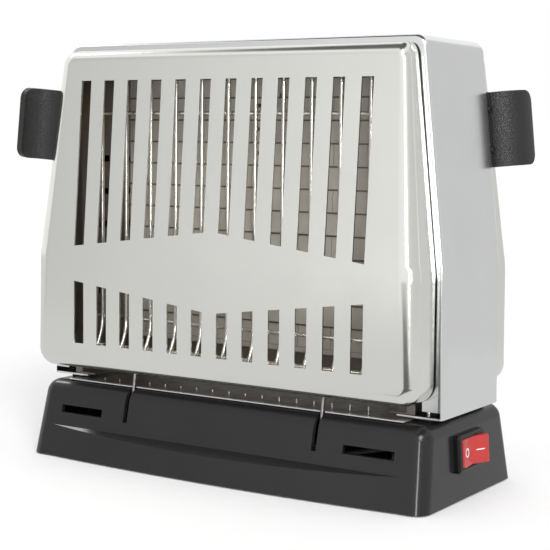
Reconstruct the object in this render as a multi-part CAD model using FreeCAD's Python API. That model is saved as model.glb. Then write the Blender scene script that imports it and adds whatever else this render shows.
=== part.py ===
import FreeCAD, Part
import math
import os

from FreeCAD import Placement, Rotation, Vector

# Drop side toaster: a moulded base, a chrome sheet housing and two slotted chrome doors that
# drop outwards on wire hinges. Millimetres, +X right, +Y back, +Z up; the origin is the centre
# of the footprint on the table. The rear half is the front half turned half a turn about Z.

# ---- stock and clearances ----
SHEET = 0.8                 # chrome sheet of the housing, doors and deck
GAP = 0.3                   # between pieces on different bodies
WIRE_SIDES = 8              # thin wires are drawn eight-sided to keep the model light
BEND_STEPS = 3              # straight steps round a tight bend in a wire
RUN_FIT = 0.06              # radial running fit of a shaft in its bearing
SEAT = 0.05                 # between loosely laid pieces of one body

# ---- base moulding ----
FOOT_HEIGHT = 0.6           # the rim of the base stands this far above the table
BASE_LENGTH = 211.6
BASE_DEPTH = 90.0
BASE_TOP = 35.6
BASE_WALL = 2.2
BASE_ROUND = 7.0            # corners and top edge
FRONT_DRAFT = 12.0          # degrees, long walls
END_DRAFT = 4.0             # degrees, end walls
BOW = 4.0                   # the skirt under the ledge bows out this far at the middle
BOW_SPAN = 188.0
LEDGE_LOW = 12.0            # outer edge of the ledge at the middle
LEDGE_HIGH = 15.0           # where the ledge meets the upper wall
VENT_LENGTH = 24.4
VENT_HEIGHT = 3.6
VENT_X = 77.4               # centre of a vent from the middle
VENT_Z = 22.8

# ---- deck ----
DECK_LENGTH = 181.0
DECK_DEPTH = 67.2

# ---- housing wrapper, an inverted U of sheet with turned-in flanges ----
HEIGHT = 195.0
WRAP_BOTTOM = 37.2
WRAP_HALF_LOW = 104.8
WRAP_HALF_BEND = 104.4
WRAP_HALF_TOP = 93.9
BEND_Z = 98.0               # the sides and the doors change slope here
BEND_RADIUS = 30.0
WRAP_DEPTH = 55.7
WRAP_CORNER = 5.0
WRAP_EDGE = 1.8
FLANGE = 9.0                # width of the turned-in front and rear flanges

# ---- doors ----
DOOR_INSET = 3.4            # strip of flange left bare round a door
DOOR_BOTTOM = 44.5
DOOR_FACE = 45.8            # front of the lower face from the middle plane
DOOR_LEAN = 4.26            # degrees, upper face leans in
DOOR_ROLL = 6.0             # edges and upper corners
DOOR_CORNER_LOW = 15.0
DOOR_SLOTS = 12
SLOT_PITCH = 13.5
SLOT_WIDTH = 5.7
SLOT_MARGIN = 14.0          # bare sheet above the slots
SLOT_BOTTOM = 56.1
BAND_HIGH = 111.3           # the bare band between the slot rows is a long lozenge
BAND_LOW = 75.4
BAND_SLOPE = 0.127
DOOR_OPEN = 90.0            # degrees from shut to the arms resting in their slots

# ---- door hinge: one bent wire per door ----
HINGE_INSET = 9.0           # axle in from the base's edge on the table
HINGE_Z = 21.0
HINGE_X = 51.15             # the two arms, from the middle
HINGE_WIRE = 1.6
HINGE_BEND = 2.0
ARM_RIM_GAP = 3.75          # middle of the arm in front of the door's rim
ARM_FOOT = 9.0              # the bent-over foot inside the door
HINGE_SLOT = 2.4
RIB_X = 43.0                # bearing rib, from the middle
RIB_THICK = 5.0
RIB_REACH = 6.0             # each side of the axle
RIB_BOTTOM = 16.0
KEEPER_THICK = 2.4
KEEPER_SCREW = 1.1          # shaft radius
KEEPER_SCREW_INSET = 4.0    # behind the axle
SPRING_WIRE = 0.9
SPRING_TURNS = 4
SPRING_LEG = 9.0            # reach of the fixed leg above the axle
ARM_HOLE = 1.6              # radius of the hole in the door for the bent arm

# ---- handles ----
HANDLE_DROP = 38.3          # its middle below the top of the housing
HANDLE_HEIGHT = 33.0
HANDLE_THICK = 3.0
HANDLE_CURVE = 13.7         # radius of the quarter round blade, middle of its thickness
HANDLE_RIM_GAP = 5.35       # middle of the blade's root in front of the door's rim
HANDLE_CORNER = 5.0
HANDLE_FOOT = 5.0           # reach of the foot back along the door's side wall
HANDLE_FOOT_THICK = 2.4
RIVET_RADIUS = 1.1
RIVET_REACH = 3.2           # from the middle of the blade back to the rivets
RIVET_SPACING = 18.0

# ---- inside: guards, element ----
FRAME_INSET = 5.4           # inner end frames, middle of their sheet in from the housing's top
FRAME_FLANGE = 4.0
FRAME_FOOT = 8.0
FRAME_DROP = 7.0            # below the top of the housing
LIP_REACH = 4.5             # bottom lips under the frames' feet
GUARD_WIRE = 2.0
GUARD_Y = 21.2
GUARD_WIRES = 12
GUARD_INSET = 8.2           # outermost wire in from the frame
GUARD_DROP = 9.0
CROSS_DROP = 32.0
GUARD_CROSS_LOW = 66.0
GUARD_CURVE = 24.0
GUARD_SWEEP = 42.0          # degrees that the foot of each guard wire turns outwards
GUARD_STEPS = 2             # straight steps round that bend
FRAME_SLOTS = 5
FRAME_SLOT_LOW = 76.0
FRAME_SLOT_PITCH = 16.0
FRAME_SLOT_Y = 10.5
MICA_THICK = 0.8
MICA_INSET = 8.5            # edge of the board in from the frame
MICA_BOTTOM = 52.0
MICA_DROP = 13.0
RIBBON_TURNS = 11
RIBBON_MARGIN = 12.3        # bare board above the highest strand
RIBBON_LOW = 66.7
RIBBON_WIDTH = 1.8
RIBBON_THICK = 0.3
RAIL_WIDTH = 2.6
RAIL_DEPTH = 6.0
RAIL_GRIP = 3.0             # depth of the groove that holds the board
TERMINAL_X = 62.0
TERMINAL_Z = 60.0
TERMINAL_RADIUS = 1.5
LEAD_RADIUS = 0.9
LEAD_Y = 4.0
LEAD_BEND = 3.0

# ---- switch, in the right end of the base ----
SWITCH_Y = -1.6
SWITCH_Z = 20.6
BEZEL_LENGTH = 26.0
BEZEL_HEIGHT = 16.0
BEZEL_PROUD = 2.8
ROCKER_LENGTH = 20.0
ROCKER_HEIGHT = 12.0
ROCKER_FACE = 16.0          # degrees, slope of each half of the hollowed face
ROCKER_TILT = 10.0          # degrees each side of level
ROCKER_DIP = 2.4            # middle of that face above the wall
SWITCH_LENGTH = 22.4        # body behind the bezel
SWITCH_HEIGHT = 14.0
SWITCH_DEPTH = 15.0
ROCKER_PIVOT = 1.0          # in front of the wall's outer face
ROCKER_BACK = 5.0
PIN_RADIUS = 1.2
BEZEL_ROUND = 1.2
ROCKER_WELL = 2.0           # back wall of the switch behind its well
TAB_LENGTH = 6.3
TAB_SPACING = 12.0

# ---- mains terminal block, on the base plate ----
BLOCK_X = -35.0
BLOCK_LENGTH = 30.0
BLOCK_WIDTH = 24.0
BLOCK_HEIGHT = 11.0

# ---- cord bush, in the left end ----
BUSH_Z = 20.0
BUSH_RADIUS = 6.5
BUSH_BORE = 3.6

# ---- plate, feet and screws ----
PLATE_THICK = 1.6
PLATE_BOTTOM = 1.8
PLATE_SLOTS = 5             # air slots, 3 mm wide
PLATE_SLOT_PITCH = 9.0
PLATE_SLOT_X = 10.0
PLATE_SLOT_LENGTH = 40.0
FOOT_RADIUS = 6.0
FOOT_X = 72.0
FOOT_Y = 29.0
BOSS_X = 84.0
BOSS_Y = 24.0
BOSS_RADIUS = 3.6
SCREW_RADIUS = 1.4
HEAD_RADIUS = 2.8
HEAD_THICK = 1.1
SCREW_SIDES = 12            # small fastenings and their holes are drawn twelve-sided, for lightness
HOUSING_SCREW_X = 94.0
HOUSING_SCREW_Y = 18.0
PAD_LENGTH = 12.0
PAD_WIDTH = 6.0
WIRE_HOLE = 3.0             # lets a lead up through the base and the deck

UP = Vector(0, 0, 1)
DOOR_TOP = HEIGHT - DOOR_INSET
SLOT_TOP = DOOR_TOP - SLOT_MARGIN
HANDLE_Z = HEIGHT - HANDLE_DROP
FRAME_TOP = HEIGHT - FRAME_DROP
GUARD_TOP = HEIGHT - GUARD_DROP
GUARD_CROSS_HIGH = HEIGHT - CROSS_DROP
MICA_TOP = HEIGHT - MICA_DROP
RIBBON_PITCH = (MICA_TOP - RIBBON_MARGIN - RIBBON_LOW) / (RIBBON_TURNS - 1)
FRAME_X = WRAP_HALF_TOP - FRAME_INSET
LIP_INNER = FRAME_X - LIP_REACH
MICA_HALF = FRAME_X - MICA_INSET
GUARD_PITCH = 2 * (FRAME_X - GUARD_INSET) / (GUARD_WIRES - 1)
RIM_Y = WRAP_DEPTH / 2 + GAP
HANDLE_Y = RIM_Y + HANDLE_RIM_GAP
HINGE_Y = BASE_DEPTH / 2 - HINGE_INSET
ARM_TOP_Y = RIM_Y + ARM_RIM_GAP
ARM_SLOT_Y = min(ARM_TOP_Y, HINGE_Y) - HINGE_WIRE / 2 - GAP
KEEPER_SCREW_Y = HINGE_Y - KEEPER_SCREW_INSET
DECK_TOP = BASE_TOP + SEAT + SHEET
ARM_FOOT_Z = DOOR_BOTTOM + SHEET + GAP / 2 + HINGE_WIRE / 2
ARM_SLOPE = (HINGE_Y - ARM_TOP_Y) / (ARM_FOOT_Z - HINGE_Z)


def box(x0, x1, y0, y1, z0, z1):
    return Part.makeBox(x1 - x0, y1 - y0, z1 - z0, Vector(x0, y0, z0))


def cylinder(radius, start, end):
    axis = end - start
    return Part.makeCylinder(radius, axis.Length, start, axis)


def small_bar(radius, start, end):
    """Twelve-sided bar for a small fastening or its hole; its corners lie on the radius."""
    along = (end - start).normalize()
    aside = along.cross(Vector(1, 0, 0) if abs(along.x) < 0.5 else UP).normalize() * radius
    corners = [start + Rotation(along, 360 * i / SCREW_SIDES).multVec(aside) for i in range(SCREW_SIDES)]
    return polygon_prism(corners, end - start)


def turned(shape):
    """The same piece on the rear half: half a turn about Z."""
    copy = shape.copy()
    copy.rotate(Vector(0, 0, 0), UP, 180)
    return copy


def mirrored(shape):
    """The same piece on the other side of the YZ plane."""
    return shape.mirror(Vector(0, 0, 0), Vector(1, 0, 0))


def join(shapes):
    whole = shapes[0].multiFuse(shapes[1:]) if len(shapes) > 1 else shapes[0]
    return whole.removeSplitter()


def corner_arc(before, corner, after, radius):
    """Start, middle and end of the arc of a radius that rounds a corner."""
    back = (before - corner).normalize()
    ahead = (after - corner).normalize()
    half = back.getAngle(ahead) / 2
    middle = (back + ahead).normalize()
    reach = radius / math.tan(half)
    nearest = corner + middle * (radius / math.sin(half) - radius)
    return corner + back * reach, nearest, corner + ahead * reach


def rounded_outline(points, radii):
    """Closed wire through the points; each corner has an arc, or stays sharp at radius 0."""
    count = len(points)
    corners = []
    for i, radius in enumerate(radii):
        if radius > 0:
            corners.append(corner_arc(points[i - 1], points[i], points[(i + 1) % count], radius))
        else:
            corners.append((points[i],))
    edges = []
    for i, corner in enumerate(corners):
        if len(corner) == 3:
            edges.append(Part.Arc(*corner).toShape())
        edges.append(Part.LineSegment(corner[-1], corners[(i + 1) % count][0]).toShape())
    return Part.Wire(edges)


def polygon_prism(points, direction):
    return Part.Face(Part.makePolygon(points + [points[0]])).extrude(direction)


def wire_bar(path, radius):
    """Thin wire along a path of straight steps, mitred at each."""
    along = (path[1] - path[0]).normalize()
    aside = along.cross(Vector(1, 0, 0) if abs(along.x) < 0.5 else UP).normalize()
    corners = []
    for i in range(WIRE_SIDES):
        turn = Rotation(along, 360 * (i + 0.5) / WIRE_SIDES)
        corners.append(path[0] + turn.multVec(aside) * radius)
    section = Part.makePolygon(corners + [corners[0]])
    return Part.makePolygon(path).makePipeShell([section], True, False, 1)


def bent_path(points, bend):
    """The points with each inner one replaced by steps round a bend of the given radius."""
    path = [points[0]]
    for i in range(1, len(points) - 1):
        arc = Part.Arc(*corner_arc(points[i - 1], points[i], points[i + 1], bend)).toShape()
        path += arc.discretize(BEND_STEPS + 1)
    return path + [points[-1]]


# ---------------------------------------------------------------- base

def base_half_length(z):
    return BASE_LENGTH / 2 - z * math.tan(math.radians(END_DRAFT))


def base_half_depth(z):
    return BASE_DEPTH / 2 - z * math.tan(math.radians(FRONT_DRAFT))


def base_form(inset, bottom):
    """Outer form of the base, or the form of its hollow when it is inset by the wall."""
    top = BASE_TOP - inset
    halves = []
    for half in (base_half_length, base_half_depth):
        low = half(bottom) - inset
        high = half(top) - inset
        halves.append((low, high))
    (x_low, x_high), (y_low, y_high) = halves
    reach = BASE_LENGTH
    long_walls = polygon_prism(
        [Vector(-reach, -y_low, bottom), Vector(-reach, y_low, bottom),
         Vector(-reach, y_high, top), Vector(-reach, -y_high, top)],
        Vector(2 * reach, 0, 0),
    )
    end_walls = polygon_prism(
        [Vector(-x_low, -reach, bottom), Vector(x_low, -reach, bottom),
         Vector(x_high, -reach, top), Vector(-x_high, -reach, top)],
        Vector(0, 2 * reach, 0),
    )
    block = long_walls.common(end_walls)
    rounds = [e for e in block.Edges if e.BoundBox.ZMax > top - 1e-6]
    block = block.makeFillet(BASE_ROUND - inset, rounds)
    skirt = front_skirt(inset, bottom)
    return join([block, skirt, turned(skirt)])


def front_skirt(inset, bottom):
    """Bowed lower part of the front wall, cut off by the ledge that slopes up to the wall."""
    y = base_half_depth(bottom) - inset
    left = Vector(-BOW_SPAN / 2, -y, bottom)
    right = Vector(BOW_SPAN / 2, -y, bottom)
    arc = Part.Arc(left, Vector(0, -y - BOW, bottom), right).toShape()
    behind = Vector(0, BASE_WALL, 0)
    sides = Part.makePolygon([right, right + behind, left + behind, left])
    height = LEDGE_HIGH + BASE_WALL - bottom
    lean = height * math.tan(math.radians(FRONT_DRAFT))
    skirt = Part.Face(Part.Wire([arc] + sides.Edges)).extrude(Vector(0, lean, height))
    ledge_in = base_half_depth(LEDGE_HIGH) - inset
    ledge_out = base_half_depth(LEDGE_LOW) + BOW - inset
    slope = (LEDGE_HIGH - LEDGE_LOW) / (ledge_out - ledge_in)
    reach = BOW + BASE_WALL
    above = polygon_prism(
        [
            Vector(-BOW_SPAN, -ledge_in + reach, LEDGE_HIGH - inset + slope * reach),
            Vector(-BOW_SPAN, -ledge_out - reach, LEDGE_LOW - inset - slope * reach),
            Vector(-BOW_SPAN, -ledge_out - reach, BASE_TOP),
            Vector(-BOW_SPAN, -ledge_in + reach, BASE_TOP),
        ],
        Vector(2 * BOW_SPAN, 0, 0),
    )
    return skirt.cut(above)


def hinge_slots():
    """Cuts for the two hinge arms of the front door, through the shoulder and the front wall."""
    reach = base_half_depth(HINGE_Z) - BASE_WALL - HINGE_Y
    opened = math.atan(ARM_SLOPE) + math.radians(90 - DOOR_OPEN)
    bottom = HINGE_Z + reach * math.tan(opened) - HINGE_WIRE / 2 / math.cos(opened) - GAP
    cut = box(-HINGE_SLOT / 2, HINGE_SLOT / 2, -BASE_DEPTH, -ARM_SLOT_Y, bottom, BASE_TOP + 1)
    cut.translate(Vector(HINGE_X, 0, 0))
    return cut.fuse(mirrored(cut))


def bearing_rib():
    """Rib under the top wall with an open-bottomed bearing for the hinge axle."""
    rib = box(RIB_X - RIB_THICK / 2, RIB_X + RIB_THICK / 2, -HINGE_Y - RIB_REACH, -HINGE_Y + RIB_REACH,
              RIB_BOTTOM, BASE_TOP)
    bore = HINGE_WIRE / 2 + RUN_FIT
    start = Vector(RIB_X - RIB_THICK, -HINGE_Y, HINGE_Z)
    bearing = cylinder(bore, start, start + Vector(2 * RIB_THICK, 0, 0))
    mouth = box(start.x, start.x + 2 * RIB_THICK, -HINGE_Y - bore, -HINGE_Y + bore, RIB_BOTTOM - 1, HINGE_Z)
    return rib.cut(bearing.fuse(mouth))


def right_wall_place():
    """From axes on the right end wall (X outwards, square to it) to the object's axes."""
    x = base_half_length(SWITCH_Z)
    return Placement(Vector(x, SWITCH_Y, SWITCH_Z), Rotation(Vector(0, 1, 0), -END_DRAFT))


def left_wall_place():
    """From axes on the left end wall (X outwards, square to it) to the object's axes."""
    x = base_half_length(BUSH_Z)
    turn = Rotation(Vector(0, 1, 0), END_DRAFT).multiply(Rotation(Vector(0, 0, 1), 180))
    return Placement(Vector(-x, 0, BUSH_Z), turn)


def placed(shape, place):
    shape.Placement = place.multiply(shape.Placement)
    return shape


def base_shell():
    outer = base_form(0, FOOT_HEIGHT)
    hollow = base_form(BASE_WALL, FOOT_HEIGHT - 1)
    inner = [bearing_rib(), mirrored(bearing_rib())]
    inner += [turned(rib) for rib in inner]
    for x, y in four_places(BOSS_X, BOSS_Y):
        boss_bottom = Vector(x, y, PLATE_BOTTOM + PLATE_THICK + SEAT)
        inner.append(small_bar(BOSS_RADIUS, boss_bottom, Vector(x, y, BASE_TOP - BASE_WALL / 2)))
    inner = [piece.common(outer) for piece in inner]
    for x, y in four_places(HOUSING_SCREW_X, HOUSING_SCREW_Y):
        half_x = PAD_WIDTH / 2
        half_y = PAD_LENGTH / 2
        inner.append(box(x - half_x, x + half_x, y - half_y, y + half_y,
                         BASE_TOP - BASE_WALL / 2, WRAP_BOTTOM))
    shell = join([outer.cut(hollow)] + inner)
    cuts = [hinge_slots(), turned(hinge_slots())]
    for x in (-VENT_X, VENT_X):
        vent = box(x - VENT_LENGTH / 2, x + VENT_LENGTH / 2, -BASE_DEPTH, -HINGE_Y,
                   VENT_Z - VENT_HEIGHT / 2, VENT_Z + VENT_HEIGHT / 2)
        cuts += [vent, turned(vent)]
    for x, y in four_places(BOSS_X, BOSS_Y):
        cuts.append(small_bar(SCREW_RADIUS + SEAT, Vector(x, y, 0), Vector(x, y, BASE_TOP / 2)))
    for x, y in four_places(HOUSING_SCREW_X, HOUSING_SCREW_Y):
        cuts.append(small_bar(SCREW_RADIUS + SEAT, Vector(x, y, BASE_TOP / 2), Vector(x, y, HEIGHT / 2)))
    for x, y in four_places(RIB_X, KEEPER_SCREW_Y):
        cuts.append(small_bar(KEEPER_SCREW + SEAT, Vector(x, y, 0), Vector(x, y, HINGE_Z + KEEPER_THICK)))
    for x in (-TERMINAL_X, TERMINAL_X):
        cuts.append(small_bar(WIRE_HOLE, Vector(x, LEAD_Y, BASE_TOP / 2), Vector(x, LEAD_Y, HEIGHT / 2)))
    half_length = SWITCH_LENGTH / 2 + SEAT
    half_height = SWITCH_HEIGHT / 2 + SEAT
    cuts.append(placed(box(-2 * BASE_WALL, BASE_WALL, -half_length, half_length, -half_height, half_height),
                       right_wall_place()))
    cuts.append(placed(cylinder(BUSH_RADIUS + SEAT, Vector(-2 * BASE_WALL, 0, 0), Vector(BASE_WALL, 0, 0)),
                       left_wall_place()))
    return shell.cut(cuts)


def base_plate():
    slab = box(-BASE_LENGTH, BASE_LENGTH, -BASE_DEPTH, BASE_DEPTH, PLATE_BOTTOM, PLATE_BOTTOM + PLATE_THICK)
    plate = base_form(BASE_WALL + SEAT, FOOT_HEIGHT).common(slab)
    holes = [small_bar(SCREW_RADIUS + SEAT, Vector(x, y, 0), Vector(x, y, BASE_TOP))
             for x, y in four_places(BOSS_X, BOSS_Y) + [(BLOCK_X, 0)]]
    for row in range(PLATE_SLOTS):
        y = (row - (PLATE_SLOTS - 1) / 2) * PLATE_SLOT_PITCH
        holes.append(box(PLATE_SLOT_X, PLATE_SLOT_X + PLATE_SLOT_LENGTH, y - 1.5, y + 1.5, 0, BASE_TOP))
    return plate.cut(holes)


def rubber_feet():
    feet = []
    for x in (-FOOT_X, FOOT_X):
        for y in (-FOOT_Y, FOOT_Y):
            foot = cylinder(FOOT_RADIUS, Vector(x, y, 0), Vector(x, y, PLATE_BOTTOM))
            edge = [e for e in foot.Edges if e.BoundBox.ZMax < 1e-6]
            feet.append(foot.makeChamfer(0.4, edge))
    return Part.makeCompound(feet)


def screws(places, bottom, top):
    """Pan head screws standing up, head down."""
    made = []
    for x, y in places:
        head = small_bar(HEAD_RADIUS, Vector(x, y, bottom - HEAD_THICK), Vector(x, y, bottom))
        made.append(head.fuse(small_bar(SCREW_RADIUS, Vector(x, y, bottom), Vector(x, y, top))))
    return Part.makeCompound(made)


def four_places(x, y):
    return [(sx * x, sy * y) for sx in (-1, 1) for sy in (-1, 1)]


def deck_tray():
    x = DECK_LENGTH / 2
    y = DECK_DEPTH / 2
    sheet = box(-x, x, -y, y, BASE_TOP + SEAT, DECK_TOP)
    notch = box(-HINGE_SLOT / 2, HINGE_SLOT / 2, -y - 1, -ARM_SLOT_Y, 0, HEIGHT)
    notch.translate(Vector(HINGE_X, 0, 0))
    cuts = [notch, mirrored(notch), turned(notch), turned(mirrored(notch))]
    for side in (-TERMINAL_X, TERMINAL_X):
        cuts.append(small_bar(WIRE_HOLE, Vector(side, LEAD_Y, 0), Vector(side, LEAD_Y, HEIGHT)))
    return sheet.cut(cuts)


# ---------------------------------------------------------------- housing

def wrap_half_width(z):
    if z > BEND_Z:
        share = (z - BEND_Z) / (HEIGHT - BEND_Z)
        return WRAP_HALF_BEND + share * (WRAP_HALF_TOP - WRAP_HALF_BEND)
    share = (BEND_Z - z) / (BEND_Z - WRAP_BOTTOM)
    return WRAP_HALF_BEND + share * (WRAP_HALF_LOW - WRAP_HALF_BEND)


def side_outline(inset, bottom, top, y, low_corner, top_corner):
    """Outline of the housing seen from the front, inset all round, between two heights."""
    points = [
        Vector(-wrap_half_width(bottom) + inset, y, bottom),
        Vector(wrap_half_width(bottom) - inset, y, bottom),
        Vector(wrap_half_width(BEND_Z) - inset, y, BEND_Z),
        Vector(wrap_half_width(top) - inset, y, top),
        Vector(-wrap_half_width(top) + inset, y, top),
        Vector(-wrap_half_width(BEND_Z) + inset, y, BEND_Z),
    ]
    radii = [low_corner, low_corner, BEND_RADIUS, top_corner, top_corner, BEND_RADIUS]
    return Part.Face(rounded_outline(points, radii))


def housing_wrapper():
    half = WRAP_DEPTH / 2
    outer = side_outline(0, WRAP_BOTTOM, HEIGHT, -half, 0, WRAP_CORNER).extrude(Vector(0, WRAP_DEPTH, 0))
    rims = [e for e in outer.Edges if e.BoundBox.YLength < 1e-6 and e.BoundBox.ZMax > WRAP_BOTTOM + 1]
    outer = outer.makeFillet(WRAP_EDGE, rims)
    hollow = side_outline(SHEET, WRAP_BOTTOM + SHEET, HEIGHT - SHEET, -half + SHEET, 0, WRAP_CORNER - SHEET)
    hollow = hollow.extrude(Vector(0, WRAP_DEPTH - 2 * SHEET, 0))
    window = side_outline(FLANGE, WRAP_BOTTOM + SHEET, HEIGHT - FLANGE, -half - 1, 0, WRAP_CORNER)
    window = window.extrude(Vector(0, WRAP_DEPTH + 2, 0))
    under = box(-LIP_INNER, LIP_INNER, -half - 1, half + 1, WRAP_BOTTOM - 1, WRAP_BOTTOM + 2 * SHEET)
    slit_width = wrap_half_width(WRAP_BOTTOM) - SHEET
    slit = box(-slit_width, slit_width, -half - 1, half + 1, WRAP_BOTTOM + SHEET, WRAP_BOTTOM + SHEET + 2.4)
    holes = []
    for x, y in four_places(HOUSING_SCREW_X, HOUSING_SCREW_Y):
        start = Vector(x, y, WRAP_BOTTOM - 1)
        holes.append(small_bar(SCREW_RADIUS + SEAT, start, start + UP * 4))
    return outer.cut([hollow, window, under, slit] + holes)


# ---------------------------------------------------------------- doors

def door_half_width(z):
    return wrap_half_width(z) - DOOR_INSET


def door_form(inset):
    """Closed form of the front door: its outline pushed forward to the two face planes."""
    low = DOOR_BOTTOM + inset
    high = DOOR_TOP - inset
    points = [
        Vector(-door_half_width(low) + inset, 0, low),
        Vector(door_half_width(low) - inset, 0, low),
        Vector(door_half_width(BEND_Z) - inset, 0, BEND_Z),
        Vector(door_half_width(high) - inset, 0, high),
        Vector(-door_half_width(high) + inset, 0, high),
        Vector(-door_half_width(BEND_Z) + inset, 0, BEND_Z),
    ]
    low_corner = DOOR_CORNER_LOW - inset
    outline = rounded_outline(points, [low_corner, low_corner, BEND_RADIUS, 0, 0, BEND_RADIUS])
    body = Part.Face(outline).extrude(Vector(0, -2 * DOOR_FACE, 0))
    start = -RIM_Y if inset == 0 else -RIM_Y + 1
    face = DOOR_FACE - inset
    lean = math.tan(math.radians(DOOR_LEAN))
    margin = DOOR_CORNER_LOW
    x = -2 * WRAP_HALF_LOW
    bend = BEND_RADIUS * math.tan(math.radians(DOOR_LEAN) / 2)
    lower_end = Vector(x, -face, BEND_Z - bend)
    middle = Vector(x, -face + bend * math.tan(math.radians(DOOR_LEAN) / 4), BEND_Z)
    direction = Vector(0, math.sin(math.radians(DOOR_LEAN)), math.cos(math.radians(DOOR_LEAN)))
    upper_end = Vector(x, -face, BEND_Z) + direction * bend
    arc = Part.Arc(lower_end, middle, upper_end).toShape()
    top = high + margin
    rest = Part.makePolygon([
        upper_end,
        Vector(x, -face + lean * (top - BEND_Z), top),
        Vector(x, start, top),
        Vector(x, start, low - margin),
        Vector(x, -face, low - margin),
        lower_end,
    ])
    keep = Part.Face(Part.Wire([arc] + rest.Edges)).extrude(Vector(-2 * x, 0, 0))
    body = body.common(keep)
    return body.makeFillet(DOOR_ROLL - inset, front_perimeter(body))


def front_perimeter(body):
    """Edges between the front faces and the walls of a door form, and its two upper corners."""
    edges = []
    for edge in body.Edges:
        point = edge.valueAt((edge.FirstParameter + edge.LastParameter) / 2)
        slopes = []
        for face in body.ancestorsOfType(edge, Part.Face):
            u, v = face.Surface.parameter(point)
            slopes.append(face.normalAt(u, v).y)
        at_front = min(slopes) < -0.9 and max(slopes) > -0.5
        bounds = edge.BoundBox
        along_y = bounds.XLength < 1e-3 and bounds.ZLength < 1e-3
        upper_corner = along_y and abs(bounds.ZMax - body.BoundBox.ZMax) < 1e-3
        if at_front or upper_corner:
            edges.append(edge)
    return edges


def slot_cut(x, z_left, z_right, level):
    """Slot with one end square at the level and the other end sloping like the bare band."""
    left = x - SLOT_WIDTH / 2
    right = x + SLOT_WIDTH / 2
    points = [Vector(left, -2 * DOOR_FACE, z_left), Vector(right, -2 * DOOR_FACE, z_right)]
    points += [Vector(right, -2 * DOOR_FACE, level), Vector(left, -2 * DOOR_FACE, level)]
    return polygon_prism(points, Vector(0, 2 * DOOR_FACE - RIM_Y, 0))


def door_slots():
    cuts = []
    for i in range(DOOR_SLOTS):
        x = (i - (DOOR_SLOTS - 1) / 2) * SLOT_PITCH
        left = abs(x - SLOT_WIDTH / 2)
        right = abs(x + SLOT_WIDTH / 2)
        upper = [BAND_HIGH - BAND_SLOPE * reach for reach in (left, right)]
        lower = [BAND_LOW + BAND_SLOPE * reach for reach in (left, right)]
        cuts.append(slot_cut(x, upper[0], upper[1], SLOT_TOP))
        cuts.append(slot_cut(x, lower[0], lower[1], SLOT_BOTTOM))
    return cuts


def front_door():
    pan = door_form(0).cut(door_form(SHEET))
    arm_hole = cylinder(ARM_HOLE, arm_point(DOOR_BOTTOM - 2), arm_point(DOOR_BOTTOM + 3))
    rivets = rivet_shafts(RIVET_RADIUS + SEAT)
    return pan.cut(door_slots() + [arm_hole, mirrored(arm_hole)] + rivets)


# ---------------------------------------------------------------- door hinge

def arm_point(z):
    """Point on the middle line of the right-hand hinge arm at a height."""
    return Vector(HINGE_X, -HINGE_Y + (z - HINGE_Z) * ARM_SLOPE, z)


def hinge_wire():
    foot = arm_point(ARM_FOOT_Z)
    half = [foot + Vector(0, -ARM_FOOT, 0), foot, arm_point(HINGE_Z)]
    other = [Vector(-p.x, p.y, p.z) for p in reversed(half)]
    return wire_bar(bent_path(half + other, HINGE_BEND), HINGE_WIRE / 2)


def four_corners(shape):
    """Front right, front left, rear left and rear right copies of a front right piece."""
    pair = [shape, mirrored(shape)]
    return pair + [turned(piece) for piece in pair]


def hinge_keepers():
    """Blocks that close the mouths of the bearings under the axles."""
    width = HINGE_WIRE / 2 + RUN_FIT - SEAT
    x0 = RIB_X - RIB_THICK / 2
    x1 = RIB_X + RIB_THICK / 2
    tongue_top = HINGE_Z - HINGE_WIRE / 2 - RUN_FIT
    tongue = box(x0, x1, -HINGE_Y - width, -HINGE_Y + width, RIB_BOTTOM - 1, tongue_top)
    bottom = RIB_BOTTOM - SEAT
    plate = box(x0, x1, -HINGE_Y - 2, -KEEPER_SCREW_Y + 2.5, bottom - KEEPER_THICK, bottom)
    screw = Vector(RIB_X, -KEEPER_SCREW_Y, 0)
    hole = small_bar(KEEPER_SCREW + SEAT, screw, screw + UP * HINGE_Z)
    return Part.makeCompound(four_corners(join([plate, tongue]).cut(hole)))


def keeper_screws():
    under = RIB_BOTTOM - SEAT - KEEPER_THICK
    seat = Vector(RIB_X, -KEEPER_SCREW_Y, under)
    head = small_bar(2 * KEEPER_SCREW, seat - UP, seat)
    shaft = small_bar(KEEPER_SCREW, seat, Vector(RIB_X, -KEEPER_SCREW_Y, HINGE_Z))
    return Part.makeCompound(four_corners(join([head, shaft])))


def hinge_spring():
    """Torsion spring between the rib and the right arm: its close coils as a sleeve, and a leg."""
    inner = HINGE_WIRE / 2 + GAP
    outer = inner + SPRING_WIRE
    start = RIB_X + RIB_THICK / 2 + SEAT
    pivot = Vector(start, -HINGE_Y, HINGE_Z)
    along = Vector(SPRING_WIRE * SPRING_TURNS, 0, 0)
    coils = cylinder(outer, pivot, pivot + along).cut(cylinder(inner, pivot - along, pivot + along * 2))
    leg_start = Vector(start + SPRING_WIRE / 2, -HINGE_Y + inner + SPRING_WIRE / 2, HINGE_Z)
    leg_end = leg_start + UP * SPRING_LEG
    return join([coils, wire_bar([leg_start, leg_end], SPRING_WIRE / 2)])


# ---------------------------------------------------------------- handles

def handle_place():
    """From the handle's own axes to the left side wall of the front door."""
    slope = math.atan2(WRAP_HALF_BEND - WRAP_HALF_TOP, HEIGHT - BEND_Z)
    return Placement(
        Vector(-door_half_width(HANDLE_Z), -HANDLE_Y, HANDLE_Z),
        Rotation(Vector(0, 1, 0), math.degrees(slope)),
    )


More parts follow.
